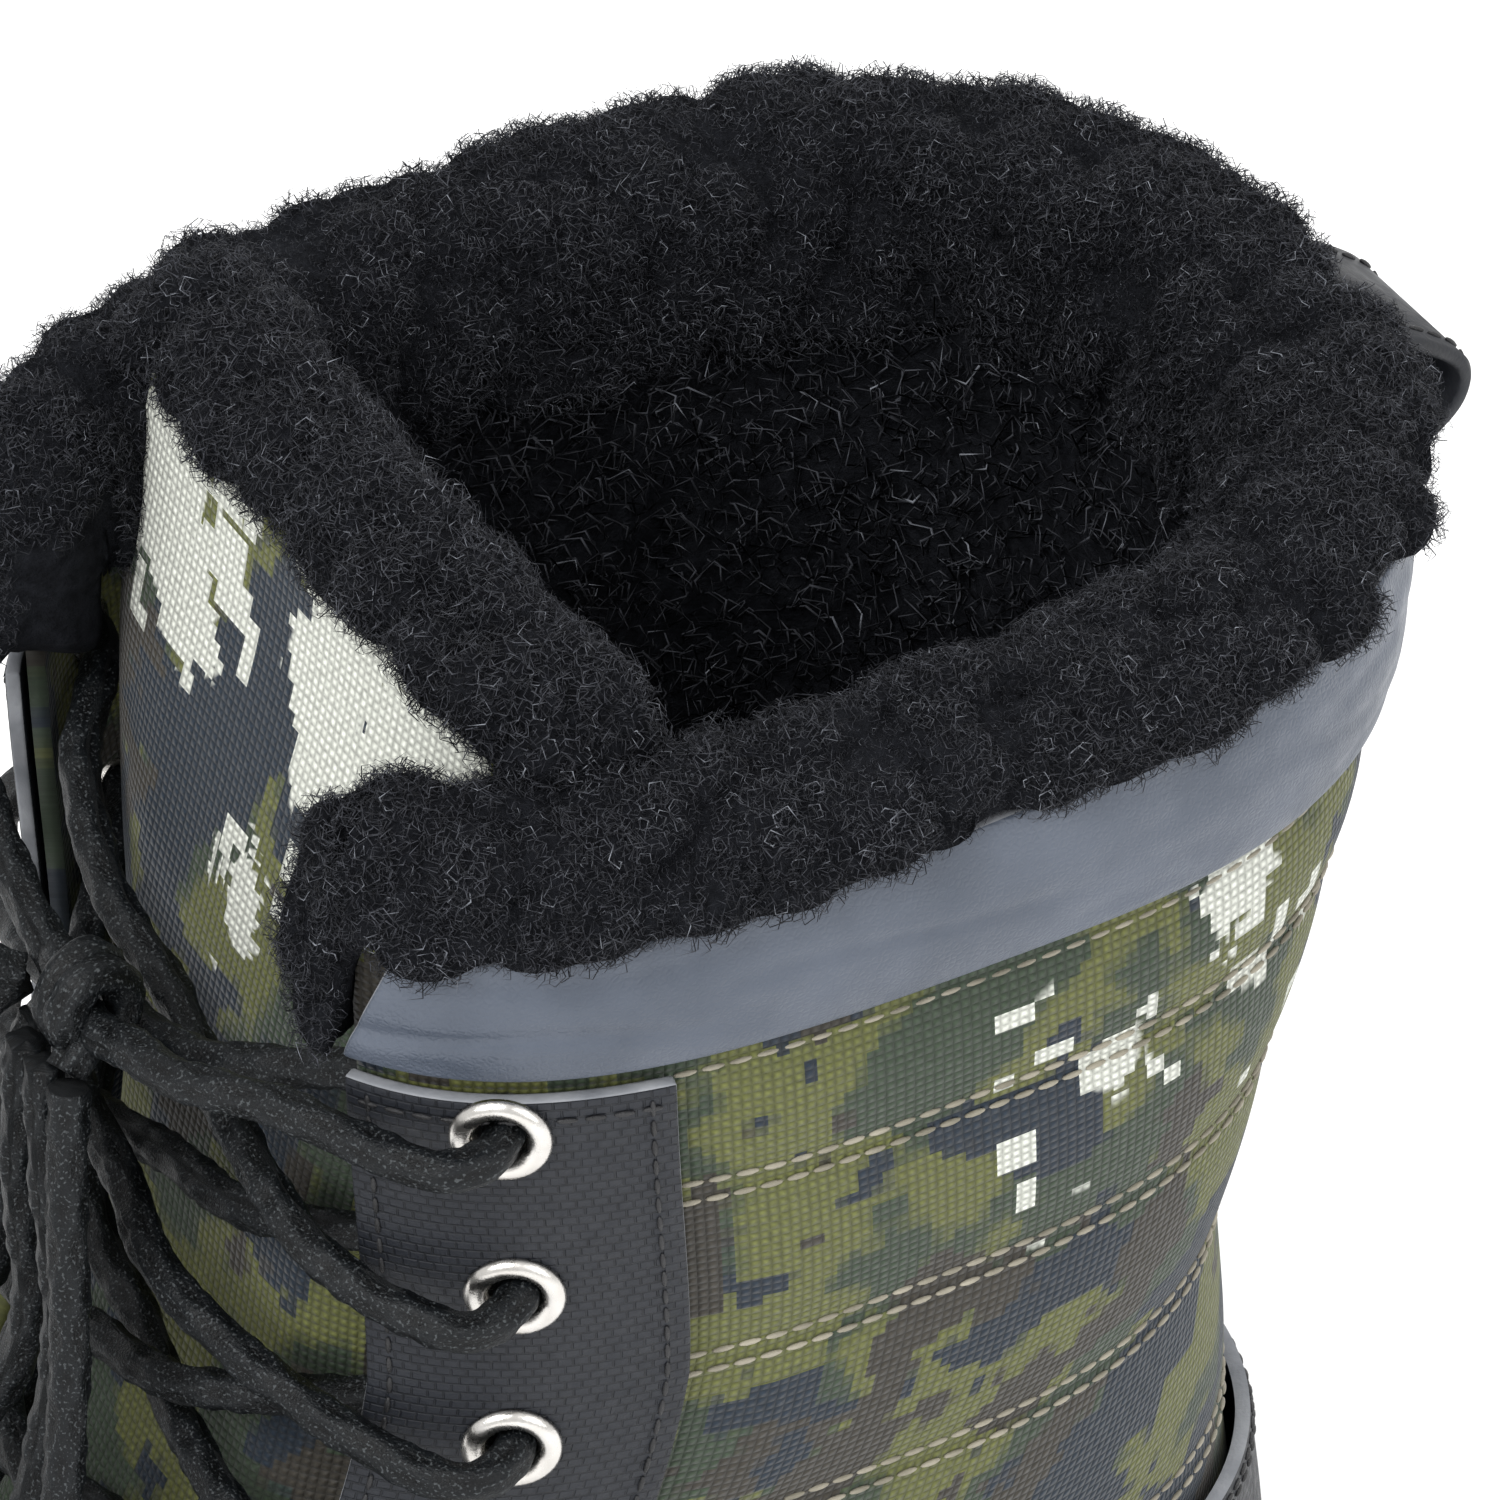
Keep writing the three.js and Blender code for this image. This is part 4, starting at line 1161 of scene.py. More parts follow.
class StitchPattern(Pattern):
    """Puts a short thread capsule at even steps along a line of edges."""

    def __init__(self) -> None:
        """Builds the tree."""
        super().__init__(
            "stitches",
            (("Pitch", "Float"), ("Length", "Float"), ("Thickness", "Float"), ("Material", "Material")),
        )
        given = self.given.outputs
        half = self.add("ShaderNodeMath", {0: given["Length"], 1: 0.5}, operation="MULTIPLY")
        thin = self.add("ShaderNodeMath", {0: given["Thickness"], 1: 0.5}, operation="MULTIPLY")
        ball = self.add("GeometryNodeMeshUVSphere", {"Segments": 8, "Rings": 5, "Radius": 1.0})
        size = self.add("ShaderNodeCombineXYZ", {0: thin.outputs[0], 1: thin.outputs[0], 2: half.outputs[0]})
        capsule = self.add("GeometryNodeTransform", {"Geometry": ball.outputs[0], "Scale": size.outputs[0]})
        curve = self.add("GeometryNodeMeshToCurve", {"Mesh": given["Geometry"]})
        even = self.add("GeometryNodeResampleCurve", {"Curve": curve.outputs[0]})
        even.mode = "LENGTH"
        self.tree.links.new(given["Pitch"], even.inputs["Length"])
        tangent = self.add("GeometryNodeInputTangent")
        turn = self.add("FunctionNodeAlignRotationToVector", {"Vector": tangent.outputs[0]}, axis="Z")
        placed = self.add(
            "GeometryNodeInstanceOnPoints",
            {"Points": even.outputs[0], "Instance": capsule.outputs[0], "Rotation": turn.outputs[0]},
        )
        self.end_with(placed.outputs[0])

    def sew(
        self, name: str, lines: Sequence[Array], material: Material, pitch: float = 2.6,
        length: float = 2.2, thickness: float = 0.75,
    ) -> Piece:
        """Sews rows of stitches.

        Args:
            name: the piece's name.
            lines: each row's points, in millimetres.
            material: the thread.
            pitch: from one stitch to the next.
            length: each stitch's length.
            thickness: each stitch's thickness.

        Returns:
            All the stitches as one piece.
        """
        points, edges = [], []
        for line in lines:
            first = len(points)
            points.extend(line.tolist())
            edges.extend((first + i, first + i + 1) for i in range(len(line) - 1))
        mesh = bpy.data.meshes.new(name)
        mesh.from_pydata((np.array(points) * MM).tolist(), edges, [])
        piece = bpy.data.objects.new(name, mesh)
        bpy.context.scene.collection.objects.link(piece)
        return self.run(
            piece, Pitch=pitch * MM, Length=length * MM, Thickness=thickness * MM, Material=material
        )


class PilePattern(Pattern):
    """Stands curly fibres on a mesh, leaning together in soft tufts."""

    def __init__(self) -> None:
        """Builds the tree."""
        inputs = (("Density", "Float"), ("Seed", "Int"), ("Lean", "Float"), ("Size", "Float"))
        inputs += (("Tuft Scale", "Float"), ("Fibre", "Object"), ("Material", "Material"))
        super().__init__("pile", inputs)
        given = self.given.outputs
        spread = self.add(
            "GeometryNodeDistributePointsOnFaces",
            {"Mesh": given["Geometry"], "Density": given["Density"], "Seed": given["Seed"]},
        )
        fibre = self.add("GeometryNodeObjectInfo", {"Object": given["Fibre"]})
        normal = {"Vector": spread.outputs["Normal"]}
        upright = self.add("FunctionNodeAlignRotationToVector", normal, axis="Z")
        where = self.add("GeometryNodeInputPosition")
        tufts = self.add("ShaderNodeTexNoise", {"Vector": where.outputs[0], "Scale": given["Tuft Scale"]})
        centred = self.add(
            "ShaderNodeVectorMath", {0: tufts.outputs["Color"], 1: (0.5, 0.5, 0.5)}, operation="SUBTRACT"
        )
        strength = self.add(
            "ShaderNodeVectorMath", {0: centred.outputs[0], "Scale": given["Lean"]}, operation="SCALE"
        )
        least, most = (-0.5, -0.5, -math.pi), (0.5, 0.5, math.pi)
        own = self.add("FunctionNodeRandomValue", {0: least, 1: most}, data_type="FLOAT_VECTOR")
        both = self.add("ShaderNodeVectorMath", {0: strength.outputs[0], 1: own.outputs[0]}, operation="ADD")
        bend = self.add("FunctionNodeEulerToRotation", {0: both.outputs[0]})
        leaning = self.add(
            "FunctionNodeRotateRotation", {0: upright.outputs[0], 1: bend.outputs[0]}, rotation_space="LOCAL"
        )
        scale = self.add("FunctionNodeRandomValue", {2: 0.6, 3: 1.15}, data_type="FLOAT")
        gap = self.add("GeometryNodeInputNamedAttribute", {"Name": "gap"}, data_type="FLOAT")
        short = self.add("ShaderNodeMath", {0: gap.outputs[0], 1: -0.6, 2: 1.0}, operation="MULTIPLY_ADD")
        sparse = self.add("ShaderNodeMath", {0: scale.outputs[1], 1: short.outputs[0]}, operation="MULTIPLY")
        sized = self.add("ShaderNodeMath", {0: sparse.outputs[0], 1: given["Size"]}, operation="MULTIPLY")
        placed = self.add(
            "GeometryNodeInstanceOnPoints",
            {
                "Points": spread.outputs["Points"], "Instance": fibre.outputs["Geometry"],
                "Rotation": leaning.outputs[0], "Scale": sized.outputs[0],
            },
        )
        tint = self.add("FunctionNodeRandomValue", {2: 0.0, 3: 1.0, "Seed": 7}, data_type="FLOAT")
        named = self.add(
            "GeometryNodeStoreNamedAttribute",
            {"Geometry": placed.outputs[0], "Name": "tint", "Value": tint.outputs[1]},
            data_type="FLOAT", domain="INSTANCE",
        )
        self.end_with(named.outputs[0])


class LugPattern(Pattern):
    """Stands a tread lug at each vertex of a mesh."""

    def __init__(self) -> None:
        """Builds the tree."""
        super().__init__("lugs", (("Size", "Vector"), ("Material", "Material")))
        given = self.given.outputs
        cone = {"Vertices": 8, "Radius Top": 0.78, "Radius Bottom": 1.0, "Depth": 2.0}
        lug = self.add("GeometryNodeMeshCone", cone)
        block = self.add("GeometryNodeTransform", {"Geometry": lug.outputs[0], "Scale": given["Size"]})
        points = self.add("GeometryNodeMeshToPoints", {"Mesh": given["Geometry"]})
        turn = {"Geometry": block.outputs[0], "Rotation": (math.pi, 0, 0)}
        flipped = self.add("GeometryNodeTransform", turn)
        stand = {"Points": points.outputs[0], "Instance": flipped.outputs[0]}
        placed = self.add("GeometryNodeInstanceOnPoints", stand)
        self.end_with(placed.outputs[0])


class Kit:
    """What every sub-assembly is made with: the form, the finishes and the patterns."""

    def __init__(self, frame: dict) -> None:
        """Prepares the shared tools.

        Args:
            frame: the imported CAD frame.
        """
        self.nodes = frame["nodes"]
        self.fit = Fit()
        self.form = Form(self.fit)
        self.wardrobe = Wardrobe()
        self.stitch = StitchPattern()
        self.pile = PilePattern()
        self.lug = LugPattern()
        self.fibre = self._fibre()
        table = np.linspace(0, self.fit.throat_foot, 90)
        self._edge = (table, self.form.facing_end(table))

    def facing_end(self, section: Array) -> Array:
        """The angle of the facing's rear edge, read from a table."""
        return np.interp(section, *self._edge)

    def eyelets(self) -> list[tuple[float, float]]:
        """Each eyelet's section and angle, from the top down."""
        top = self.form.section_at_height(self.fit.facing_top)
        places = []
        for i in range(self.fit.eyelets):
            section = self.form.section_below(top, self.fit.eyelet_from_top + i * self.fit.eyelet_pitch)
            start = self.form.throat_angle(np.array([section]))
            angle = self.form.angle_round(section, start, self.fit.eyelet_from_edge)[0]
            places.append((section, float(angle)))
        return places

    def eyelet_axes(self, place: tuple[float, float], side: Side) -> tuple[Array, Array, Array]:
        """An eyelet's centre, its way out of the leather and its way round to the throat."""
        section, angle = place
        centre = self.form.at(section, angle * side.value)
        inwards = self.form.at(section, (angle - 0.05) * side.value) - centre
        return centre, self.form.outward(section, angle * side.value), inwards / np.linalg.norm(inwards)

    def ride(self, piece: Piece, body: Body, slot: str, *nodes: str) -> Piece:
        """Puts a finished piece on a body in place of its CAD nodes."""
        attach(piece, body.value)
        return self._stand_for(piece, nodes)

    def bend_at_toe(self, piece: Piece, slot: str, *nodes: str) -> Piece:
        """Bakes a finished piece's transform and puts it in place of its CAD nodes."""
        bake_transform(piece)
        return self._stand_for(piece, nodes)

    def bend_at_fold(self, piece: Piece, slot: str, *nodes: str) -> Piece:
        """Bakes a finished piece's transform and puts it in place of its CAD nodes."""
        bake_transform(piece)
        return self._stand_for(piece, nodes)

    def _stand_for(self, piece: Piece, nodes: Sequence[str]) -> Piece:
        """Hides the nodes that a piece replaces and logs its face count."""
        if nodes:
            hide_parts(*nodes)
        LOG.info("%s: %d faces", piece.name, len(piece.data.polygons))
        return piece

    def copy(self, node: str, finish: str) -> Piece:
        """A piece with a node's own shape, for what bends out of sight."""
        mesh = self.nodes[node].data.copy()
        mesh.materials.clear()
        mesh.materials.append(self.wardrobe[finish])
        piece = bpy.data.objects.new(f"{node}_soft", mesh)
        bpy.context.scene.collection.objects.link(piece)
        return piece

    def grow_pile(
        self, name: str, emitter: Piece, count: int, seed: int, size: float = 1.0, lean: float = 2.2
    ) -> Piece:
        """Turns an emitter mesh into the pile that stands on it.

        Args:
            name: the pile's name.
            emitter: the faces to stand on, used up.
            count: about how many fibres.
            seed: the pattern's own seed.
            size: the fibres' size.
            lean: how far tufts lean.

        Returns:
            The pile.
        """
        area = sum(face.area for face in emitter.data.polygons)
        emitter.name = name
        return self.pile.run(
            emitter, Density=count / area, Seed=seed, Size=size, Lean=lean, Tuft_Scale=170.0,
            Fibre=self.fibre, Material=self.wardrobe["pile"],
        )

    def _fibre(self) -> Piece:
        """One curled tapering fibre, standing on its root."""
        steps, sides = 4, 3
        rings = []
        for i in range(steps):
            t = i / steps
            curl = 0.4 + 5.6 * t
            swing = 1.5 * (0.3 + t)
            middle = np.array([swing * math.sin(curl), swing * math.cos(curl), 3.0 * t - 0.4])
            turn = np.arange(sides) / sides * TAU + t
            ring = np.stack([np.cos(turn), np.sin(turn), np.zeros(sides)], -1) * 0.13 * (1 - 0.45 * t)
            rings.append(middle + ring)
        points = np.vstack([*rings, [[-0.4, 1.9, 2.2]]])
        faces = grid_faces(steps, sides, True)
        top = (steps - 1) * sides
        faces += [(top + i, top + (i + 1) % sides, steps * sides) for i in range(sides)] + [(0, 2, 1)]
        fibre = make_piece("fibre", points, faces, [self.wardrobe["pile"]])
        fibre.hide_render = True
        fibre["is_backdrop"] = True
        return fibre

    def below(self, rise: float) -> Piece:
        """A helper solid of everything below a line above the sole."""
        line = side_line(rise)
        return self.block("below", np.array([(line[0, 0] + 4, -20.0), (line[-1, 0] - 8, -20.0)]), line)

    def block(self, name: str, lower: Array, upper: Array, half: float = 80.0) -> Piece:
        """A helper solid between two lines in the side view, stretched along X."""
        outline = np.vstack([lower, upper[::-1]])
        n = len(outline)
        sides = [np.column_stack([np.full(n, x), outline]) for x in (-half, half)]
        faces = [tuple(range(n)), tuple(range(2 * n - 1, n - 1, -1))]
        faces += [(i, (i + 1) % n, n + (i + 1) % n, n + i) for i in range(n)]
        return make_piece(name, np.vstack(sides), faces, [self.wardrobe["board"]])


def side_line(rise: float) -> Array:
    """The sole's upper line in the side view, raised by a distance, from heel to toe."""
    return spline_points(SOLE_TOP_KNOTS, 60) + (0, rise)


def rough_noise(points: Array, size: float, seed: float = 0.0) -> Array:
    """Smooth noise from about -1 to 1 at each point, with bumps of a size in millimetres."""
    flat = points.reshape(-1, 3) / size + seed
    return np.array([noise.noise(Vector(p)) for p in flat]).reshape(points.shape[:-1])


def clump_noise(points: Array, size: float) -> Array:
    """Round clumps, 1 in their middles and 0 between them, of a size in millimetres."""
    flat = points.reshape(-1, 3) / size
    nearest = np.array([noise.voronoi(Vector(p))[0][0] for p in flat])
    return np.sqrt(np.clip(1 - nearest**2 * 1.9, 0, 1)).reshape(points.shape[:-1])


# ----------------------------------------------------------------------------
# The studio
# ----------------------------------------------------------------------------
@dataclass
class Studio:
    """A pale floor, soft lamps and the camera above the boot's outer front corner."""

    middle: Rgb = (19.45, 6.37, 207.51)
    back: Rgb = (0.682, -0.394, 0.616)
    distance: float = 900.0
    lens: float = 226.7
    floor: float = 8000.0

    def camera(self) -> None:
        """Puts up the camera."""
        data = bpy.data.cameras.new("camera")
        data.lens = self.lens
        data.sensor_width = 36.0
        data.clip_start, data.clip_end = 0.05, 40.0
        camera = bpy.data.objects.new("camera", data)
        back = Vector(self.back).normalized()
        camera.location = (Vector(self.middle) + back * self.distance) * MM
        camera.rotation_euler = (-back).to_track_quat("-Z", "Y").to_euler()
        bpy.context.scene.collection.objects.link(camera)
        bpy.context.scene.camera = camera

    def lamp(self, name: str, place: tuple[float, float, float], size: float, power: float) -> None:
        """Puts up one soft square lamp aimed at the boot's top.

        Args:
            name: the lamp's name.
            place: where it hangs, in metres.
            size: its side in metres.
            power: its power in watts.
        """
        data = bpy.data.lights.new(name, "AREA")
        data.size, data.energy = size, power
        lamp = bpy.data.objects.new(name, data)
        lamp.location = place
        way = Vector((0, 0, 0.2)) - Vector(place)
        lamp.rotation_euler = way.to_track_quat("-Z", "Y").to_euler()
        bpy.context.scene.collection.objects.link(lamp)
        lamp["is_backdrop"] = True

    def build(self) -> None:
        """Puts up the floor, the lamps and the surrounding light."""
        tree = Tree("floor paper")
        tree.shader.inputs["Base Color"].default_value = (0.93, 0.93, 0.93, 1)
        tree.shader.inputs["Roughness"].default_value = 0.9
        half = self.floor / 2
        corners = np.array([(-half, -half, 0), (half, -half, 0), (half, half, 0), (-half, half, 0)])
        floor = make_piece("floor", corners, [(0, 1, 2, 3)], [tree.material])
        floor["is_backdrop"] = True
        self.lamp("key lamp", (0.7, -1.5, 1.9), 1.3, 42)
        self.lamp("fill lamp", (1.9, 0.6, 1.3), 1.6, 16)
        self.lamp("back lamp", (-1.2, 1.5, 1.8), 1.2, 26)
        world = bpy.data.worlds.new("studio air")
        world.use_nodes = True
        sky = world.node_tree.nodes["Background"]
        sky.inputs[0].default_value = (1, 1, 1, 1)
        sky.inputs[1].default_value = 0.85
        bpy.context.scene.world = world
        bpy.context.scene.view_settings.view_transform = "Standard"


# ----------------------------------------------------------------------------
# The lacing
# ----------------------------------------------------------------------------
@dataclass
class Lacing:
    """The lace crossing up the throat, its knot, bow loops and hanging ends."""

    kit: Kit
    knot: Rgb = (5.0, -57.5, 192.5)
    knot_size: Rgb = (7.5, 4.0, 5.5)
    step: float = 0.5
    over_instep: float = -13.0
    aglet: float = 18.0
    loop_a: Triples = (
        (-5, -4.6, 2), (-9, -14, 6), (-14, -27, 5), (-18, -33, -8), (-17, -30, -26), (-14, -23, -33),
        (-12, -15, -20), (-11.5, -9, -8), (-8.6, -3.4, -1.6),
    )
    loop_b: Triples = (
        (1.5, -5.8, -4), (3, -6.6, -16), (5, -7.2, -36), (7.5, -14, -58), (11.5, -18.5, -66),
        (14.5, -15, -58), (11, -9.5, -36), (8, -7.2, -16), (6, -5.4, -4),
    )
    end_a: Triples = ((-3, -5.4, -4.6), (-3.5, -6.6, -20), (-3, -7, -40))
    end_a_instep: Pairs = ((3.4, -0.05), (4.2, -0.12), (5.2, -0.22), (6, -0.34), (6.7, -0.46))
    end_b: Triples = ((-6.6, -2.2, -5.4), (-9.5, -5.2, -18), (-11, -7, -38))
    end_b_instep: Pairs = ((3.2, -0.35), (3.9, -0.5), (4.7, -0.66), (5.4, -0.8))

    def build(self) -> None:
        """Makes the whole lacing."""
        self._free_cords()
        for letter, side in (("a", Side.LATERAL), ("b", Side.MEDIAL)):
            line = cord_line(self._run(side), self.step)
            piece = braided_cord(f"lace_{letter}", line, self.kit.fit.lace, self.kit.wardrobe["lace_cord"])
            self.kit.ride(piece, Body.BOOT, "lace_cord", f"lace_run_{letter}")
        self._knot()

    def _from_knot(self, places: Sequence[Sequence[float]]) -> Array:
        """Places measured from the knot's middle."""
        return np.array(places, float) + self.knot

    def _free_cords(self) -> None:
        instep = self.kit.form.at
        for letter, places in (("a", self.loop_a), ("b", self.loop_b)):
            line = cord_line(self._from_knot(places), self.step)
            piece = self._cord(f"bow_{letter}", line, f"bow_loop_{letter}")
            self._declare(line)
        ends = (("a", self.end_a, self.end_a_instep), ("b", self.end_b, self.end_b_instep))
        for letter, places, low in ends:
            lower = np.array([instep(section, angle, self.over_instep) for section, angle in low])
            line = cord_line(np.vstack([self._from_knot(places), lower]), self.step)
            piece = self._cord(f"end_{letter}", line, f"lace_end_{letter}")
            tip = self._tip(letter, line)
            self._declare(line)

    def _cord(self, name: str, line: Array, node: str) -> Piece:
        """One free stretch of lace."""
        piece = braided_cord(name, line, self.kit.fit.lace, self.kit.wardrobe["lace_cord"])
        return self.kit.ride(piece, Body.BOOT, "lace_cord", node)

    def _tip(self, letter: str, line: Array) -> Piece:
        """The aglet at the end of a line."""
        way = line[-1] - line[-2]
        way /= np.linalg.norm(way)
        radii = (
            (0, 0), (1.7, 0), (1.85, 0.6), (1.7, 3), (1.62, 14), (1.4, 17.4), (0.8, self.aglet),
            (0, self.aglet),
        )
        _, across, up = ring_frames(np.array([line[-1], line[-1] + way]))

        def place(points: Array) -> Array:
            return line[-1] + points[:, :1] * across[0] + points[:, 1:2] * up[0] + (points[:, 2:] + 0.1) * way

        tip = turned(f"tip_{letter}", radii, 20, self.kit.wardrobe["aglet_plastic"], place)
        return self.kit.ride(tip, Body.BOOT, "aglet_plastic", f"aglet_{letter}")

    def _declare(self, line: Array) -> None:
        """Samples a free stretch's route, keeping its last point; the samples are not used."""
        points = line[:: max(1, len(line) // 38)]
        if not np.allclose(points[-1], line[-1]):
            points = np.vstack([points, line[-1:]])

    def _through(self, place: tuple[float, float], side: Side) -> list[Array]:
        """The half turn of lace that passes up through an eyelet."""
        fit = self.kit.fit
        centre, out, inwards = self.kit.eyelet_axes(place, side)
        turns = np.radians([80, 40, 0, -40, -80])
        return [
            centre + inwards * (fit.turn - fit.turn_back - fit.turn * math.cos(t))
            - out * (fit.turn_middle + fit.turn * math.sin(t))
            for t in turns
        ]

    def _run(self, side: Side) -> list[Array]:
        """The knots of one half of the lace, from the foot of the throat up to the bow's knot."""
        form, fit = self.kit.form, self.kit.fit
        eyelets = self.kit.eyelets()
        near_facing = -(fit.lift + fit.overlay + fit.cad_lace / 2 + 0.6)

        def resting(section: float, angle: float, rise: float = 0.0) -> Array:
            face = form.tongue_face(section, angle) - fit.lace / 2 - fit.lace_gap - rise
            return form.at(section, angle, face)

        here = side.value
        lowest = eyelets[-1]
        points = [resting(lowest[0], lowest[1] * part * here) for part in (0.012, 0.35, 0.7)]
        top = fit.lace + fit.lace_gap if side is Side.LATERAL else 0.0
        for i in range(fit.eyelets - 1, -1, -1):
            points += self._through(eyelets[i], Side(here))
            if i == 0:
                break
            low, high = eyelets[i][0], eyelets[i - 1][0]
            edge = float(form.throat_angle(low)) * here
            far = float(form.throat_angle(high)) * here
            rise = high - low
            points.append(form.at(low + rise * 0.12, edge * 0.95, near_facing))
            points.append(resting(low + rise * 0.35, edge * 0.4, top + 2))
            points.append(resting(low + rise * 0.5, 0.0, top))
            points.append(resting(low + rise * 0.65, -far * 0.4, top * 0.8))
            points.append(resting(low + rise * 0.88, -far * 0.85))
            here = -here
        first = eyelets[0][0]
        points.append(form.at(first, float(form.throat_angle(first)) * 0.85 * here, near_facing - 1))
        points.append(np.array(self.knot) + (here * (self.knot_size[0] + 9), 1, 2))
        points.append(np.array(self.knot) + (here * (self.knot_size[0] - 1), 0, 0))
        return points

    def _knot(self) -> None:
        """The bow's knot: a turn of lace drawn round the crossing strands."""
        wrap = [
            (1.9 * math.cos(t / 3.4) - 0.4, -3.3 * math.cos(t), 3.9 * math.sin(t))
            for t in np.arange(-0.6, 9.4, 0.5)
        ]
        across = [(-8, 0.6, 0.5), (-4, -0.5, 1.2), (0, -1.2, 0), (4, -0.6, -1), (8, 0.6, -0.4)]
        under = [(-6.4, -1.4, -5), (-4.4, -1.8, -3), (-1.4, -1.3, -0.4), (2, -1.6, -2.2), (3.2, -4.4, -4.6)]
        lines = [cord_line(self._from_knot(places), self.step) for places in (wrap, across, under)]
        pieces = [
            braided_cord(f"knot_turn_{i}", line, self.kit.fit.lace, self.kit.wardrobe["lace_cord"])
            for i, line in enumerate(lines)
        ]
        for piece in pieces:
            self.kit.ride(piece, Body.BOOT, "lace_cord", "bow_knot")


# ----------------------------------------------------------------------------
# The shaft
# ----------------------------------------------------------------------------
@dataclass
class Shaft:
    """Canvas quarters, eyelet facings, eyelets, collar band and backstay."""

    kit: Kit
    row_heights: tuple[float, ...] = (199.6, 184.0, 160.6)
    row_gap: float = 23.5
    rows: int = 7
    double_gap: float = 2.5
    puff: float = 1.25
    band_bottom: float = 203.0
    eyelet_hole: float = 2.6
    eyelet_rim: float = 4.9
    eyelet_height: float = 1.1
    backstay_half: float = 0.16
    thread_pitch: float = 2.7
    thread_length: float = 2.4
    thread_width: float = 0.62

    def build(self) -> None:
        """Makes every piece of the shaft."""
        self._row_sections = self._rows()
        for side in Side:
            self._quarter(side)
            self._facing(side)
            for i, place in enumerate(self.kit.eyelets()):
                self._eyelet(i + 1, place, side)
        self._tan_rows()
        self._band()
        self._backstay()

    def _rows(self) -> Array:
        """The sections of the sewn rows, from the top down."""
        form = self.kit.form
        rows = [form.section_at_height(height) for height in self.row_heights]
        while len(rows) < self.rows:
            rows.append(form.section_below(rows[-1], self.row_gap))
        return np.array(rows)

    def _canvas_inset(self, section: Array, angle: Array) -> Array:
        """The canvas stands out between its sewn rows, away from the leather over it."""
        rows = self._row_sections
        i = np.clip(np.searchsorted(rows, section) - 1, 0, len(rows) - 2)
        t = np.clip((section - rows[i]) / (rows[i + 1] - rows[i]), 0, 1)
        swell = np.sin(math.pi * t) ** 0.55
        turn = np.abs(angle)
        clear = np.clip((turn - self.kit.facing_end(section) - 0.02) / 0.14, 0, 1)
        clear = clear * np.clip((math.pi - 0.2 - turn) / 0.12, 0, 1)
        counter = np.clip((section - 4.1) / 0.2, 0, 1) * np.clip((turn - math.pi + 1.35) / 0.1, 0, 1)
        return -self.puff * swell * clear * (1 - counter) * (section < 7.2)

    def _punches(self, side: Side) -> Piece:
        """A helper with one pin through each eyelet of a side."""
        radius = self.eyelet_hole + 0.75
        points, faces, sides = [], [], 20
        turn = np.arange(sides) / sides * TAU
        for place in self.kit.eyelets():
            centre, out, inwards = self.kit.eyelet_axes(place, side)
            other = np.cross(out, inwards)
            start = len(points)
            for height in (-7, 7):
                points += list(
                    centre + out * height
                    + radius * (np.cos(turn)[:, None] * inwards + np.sin(turn)[:, None] * other)
                )
            faces += grid_faces(2, sides, True, start)
            faces.append(tuple(range(start, start + sides)))
            faces.append(tuple(range(start + 2 * sides - 1, start + sides - 1, -1)))
        return make_piece("punches", np.array(points), faces, [self.kit.wardrobe["steel"]])

    def _quarter(self, side: Side) -> None:
        """One canvas quarter, from the band down to the vamp."""
        form, fit, s = self.kit.form, self.kit.fit, side.value
        layer = Layer(
            form.section_at_height(221), fit.vamp_start - 0.02,
            lambda v: np.where(v < fit.throat_foot, form.throat_angle(v), 0.02) * s,
            level((math.pi - 0.006) * s),
            self._canvas_inset, flat(fit.canvas), rows=170, cols=110,
        )
        piece = layer.make(form, f"canvas_quarter_{side.word}", [self.kit.wardrobe["camo_canvas"]])
        for cutter in (self._punches(side), self.kit.below(UPPER_CLEAR)):
            cut_away(piece, cutter)
            discard(cutter)
        self.kit.ride(piece, Body.BOOT, "camo_canvas", f"quarter_{side.word}")

    def _facing(self, side: Side) -> None:
        """One eyelet facing with its edge stitching."""
        form, fit, s = self.kit.form, self.kit.fit, side.value
        top = form.section_at_height(fit.facing_top)
        layer = Layer(
            top, fit.throat_foot, lambda v: form.throat_angle(v) * s, lambda v: self.kit.facing_end(v) * s,
            flat(-fit.lift - fit.overlay), flat(-fit.lift),
            rows=140, cols=26,
        )
        finish = self.kit.wardrobe.with_edges("facing_leather")
        piece = layer.make(form, f"facing_{side.word}", finish)
        soften(piece, 0.35)
        cutter = self._punches(side)
        cut_away(piece, cutter)
        discard(cutter)
        self.kit.ride(piece, Body.BOOT, "facing_leather", f"eyelet_facing_{side.word}")
        lines = []
        sections = np.linspace(form.section_below(top, 2.3), fit.throat_foot - 0.05, 150)
        out = -fit.lift - fit.overlay - 0.1
        near = form.angle_round(sections, form.throat_angle(sections), 2.3)
        far = form.angle_round(sections, form.throat_angle(sections), fit.facing_width - 2.4)
        lines.append(form.at(sections, near * s, out))
        lines.append(form.at(sections, far * s, out))
        lines.append(form.at(np.full(20, sections[0]), np.linspace(near[0], far[0], 20) * s, out))
        thread = self.kit.stitch.sew(
            f"facing_thread_{side.word}", lines, self.kit.wardrobe["black_thread"], 2.5, 2.1, 0.6
        )
        self.kit.ride(thread, Body.BOOT, "facing_leather")

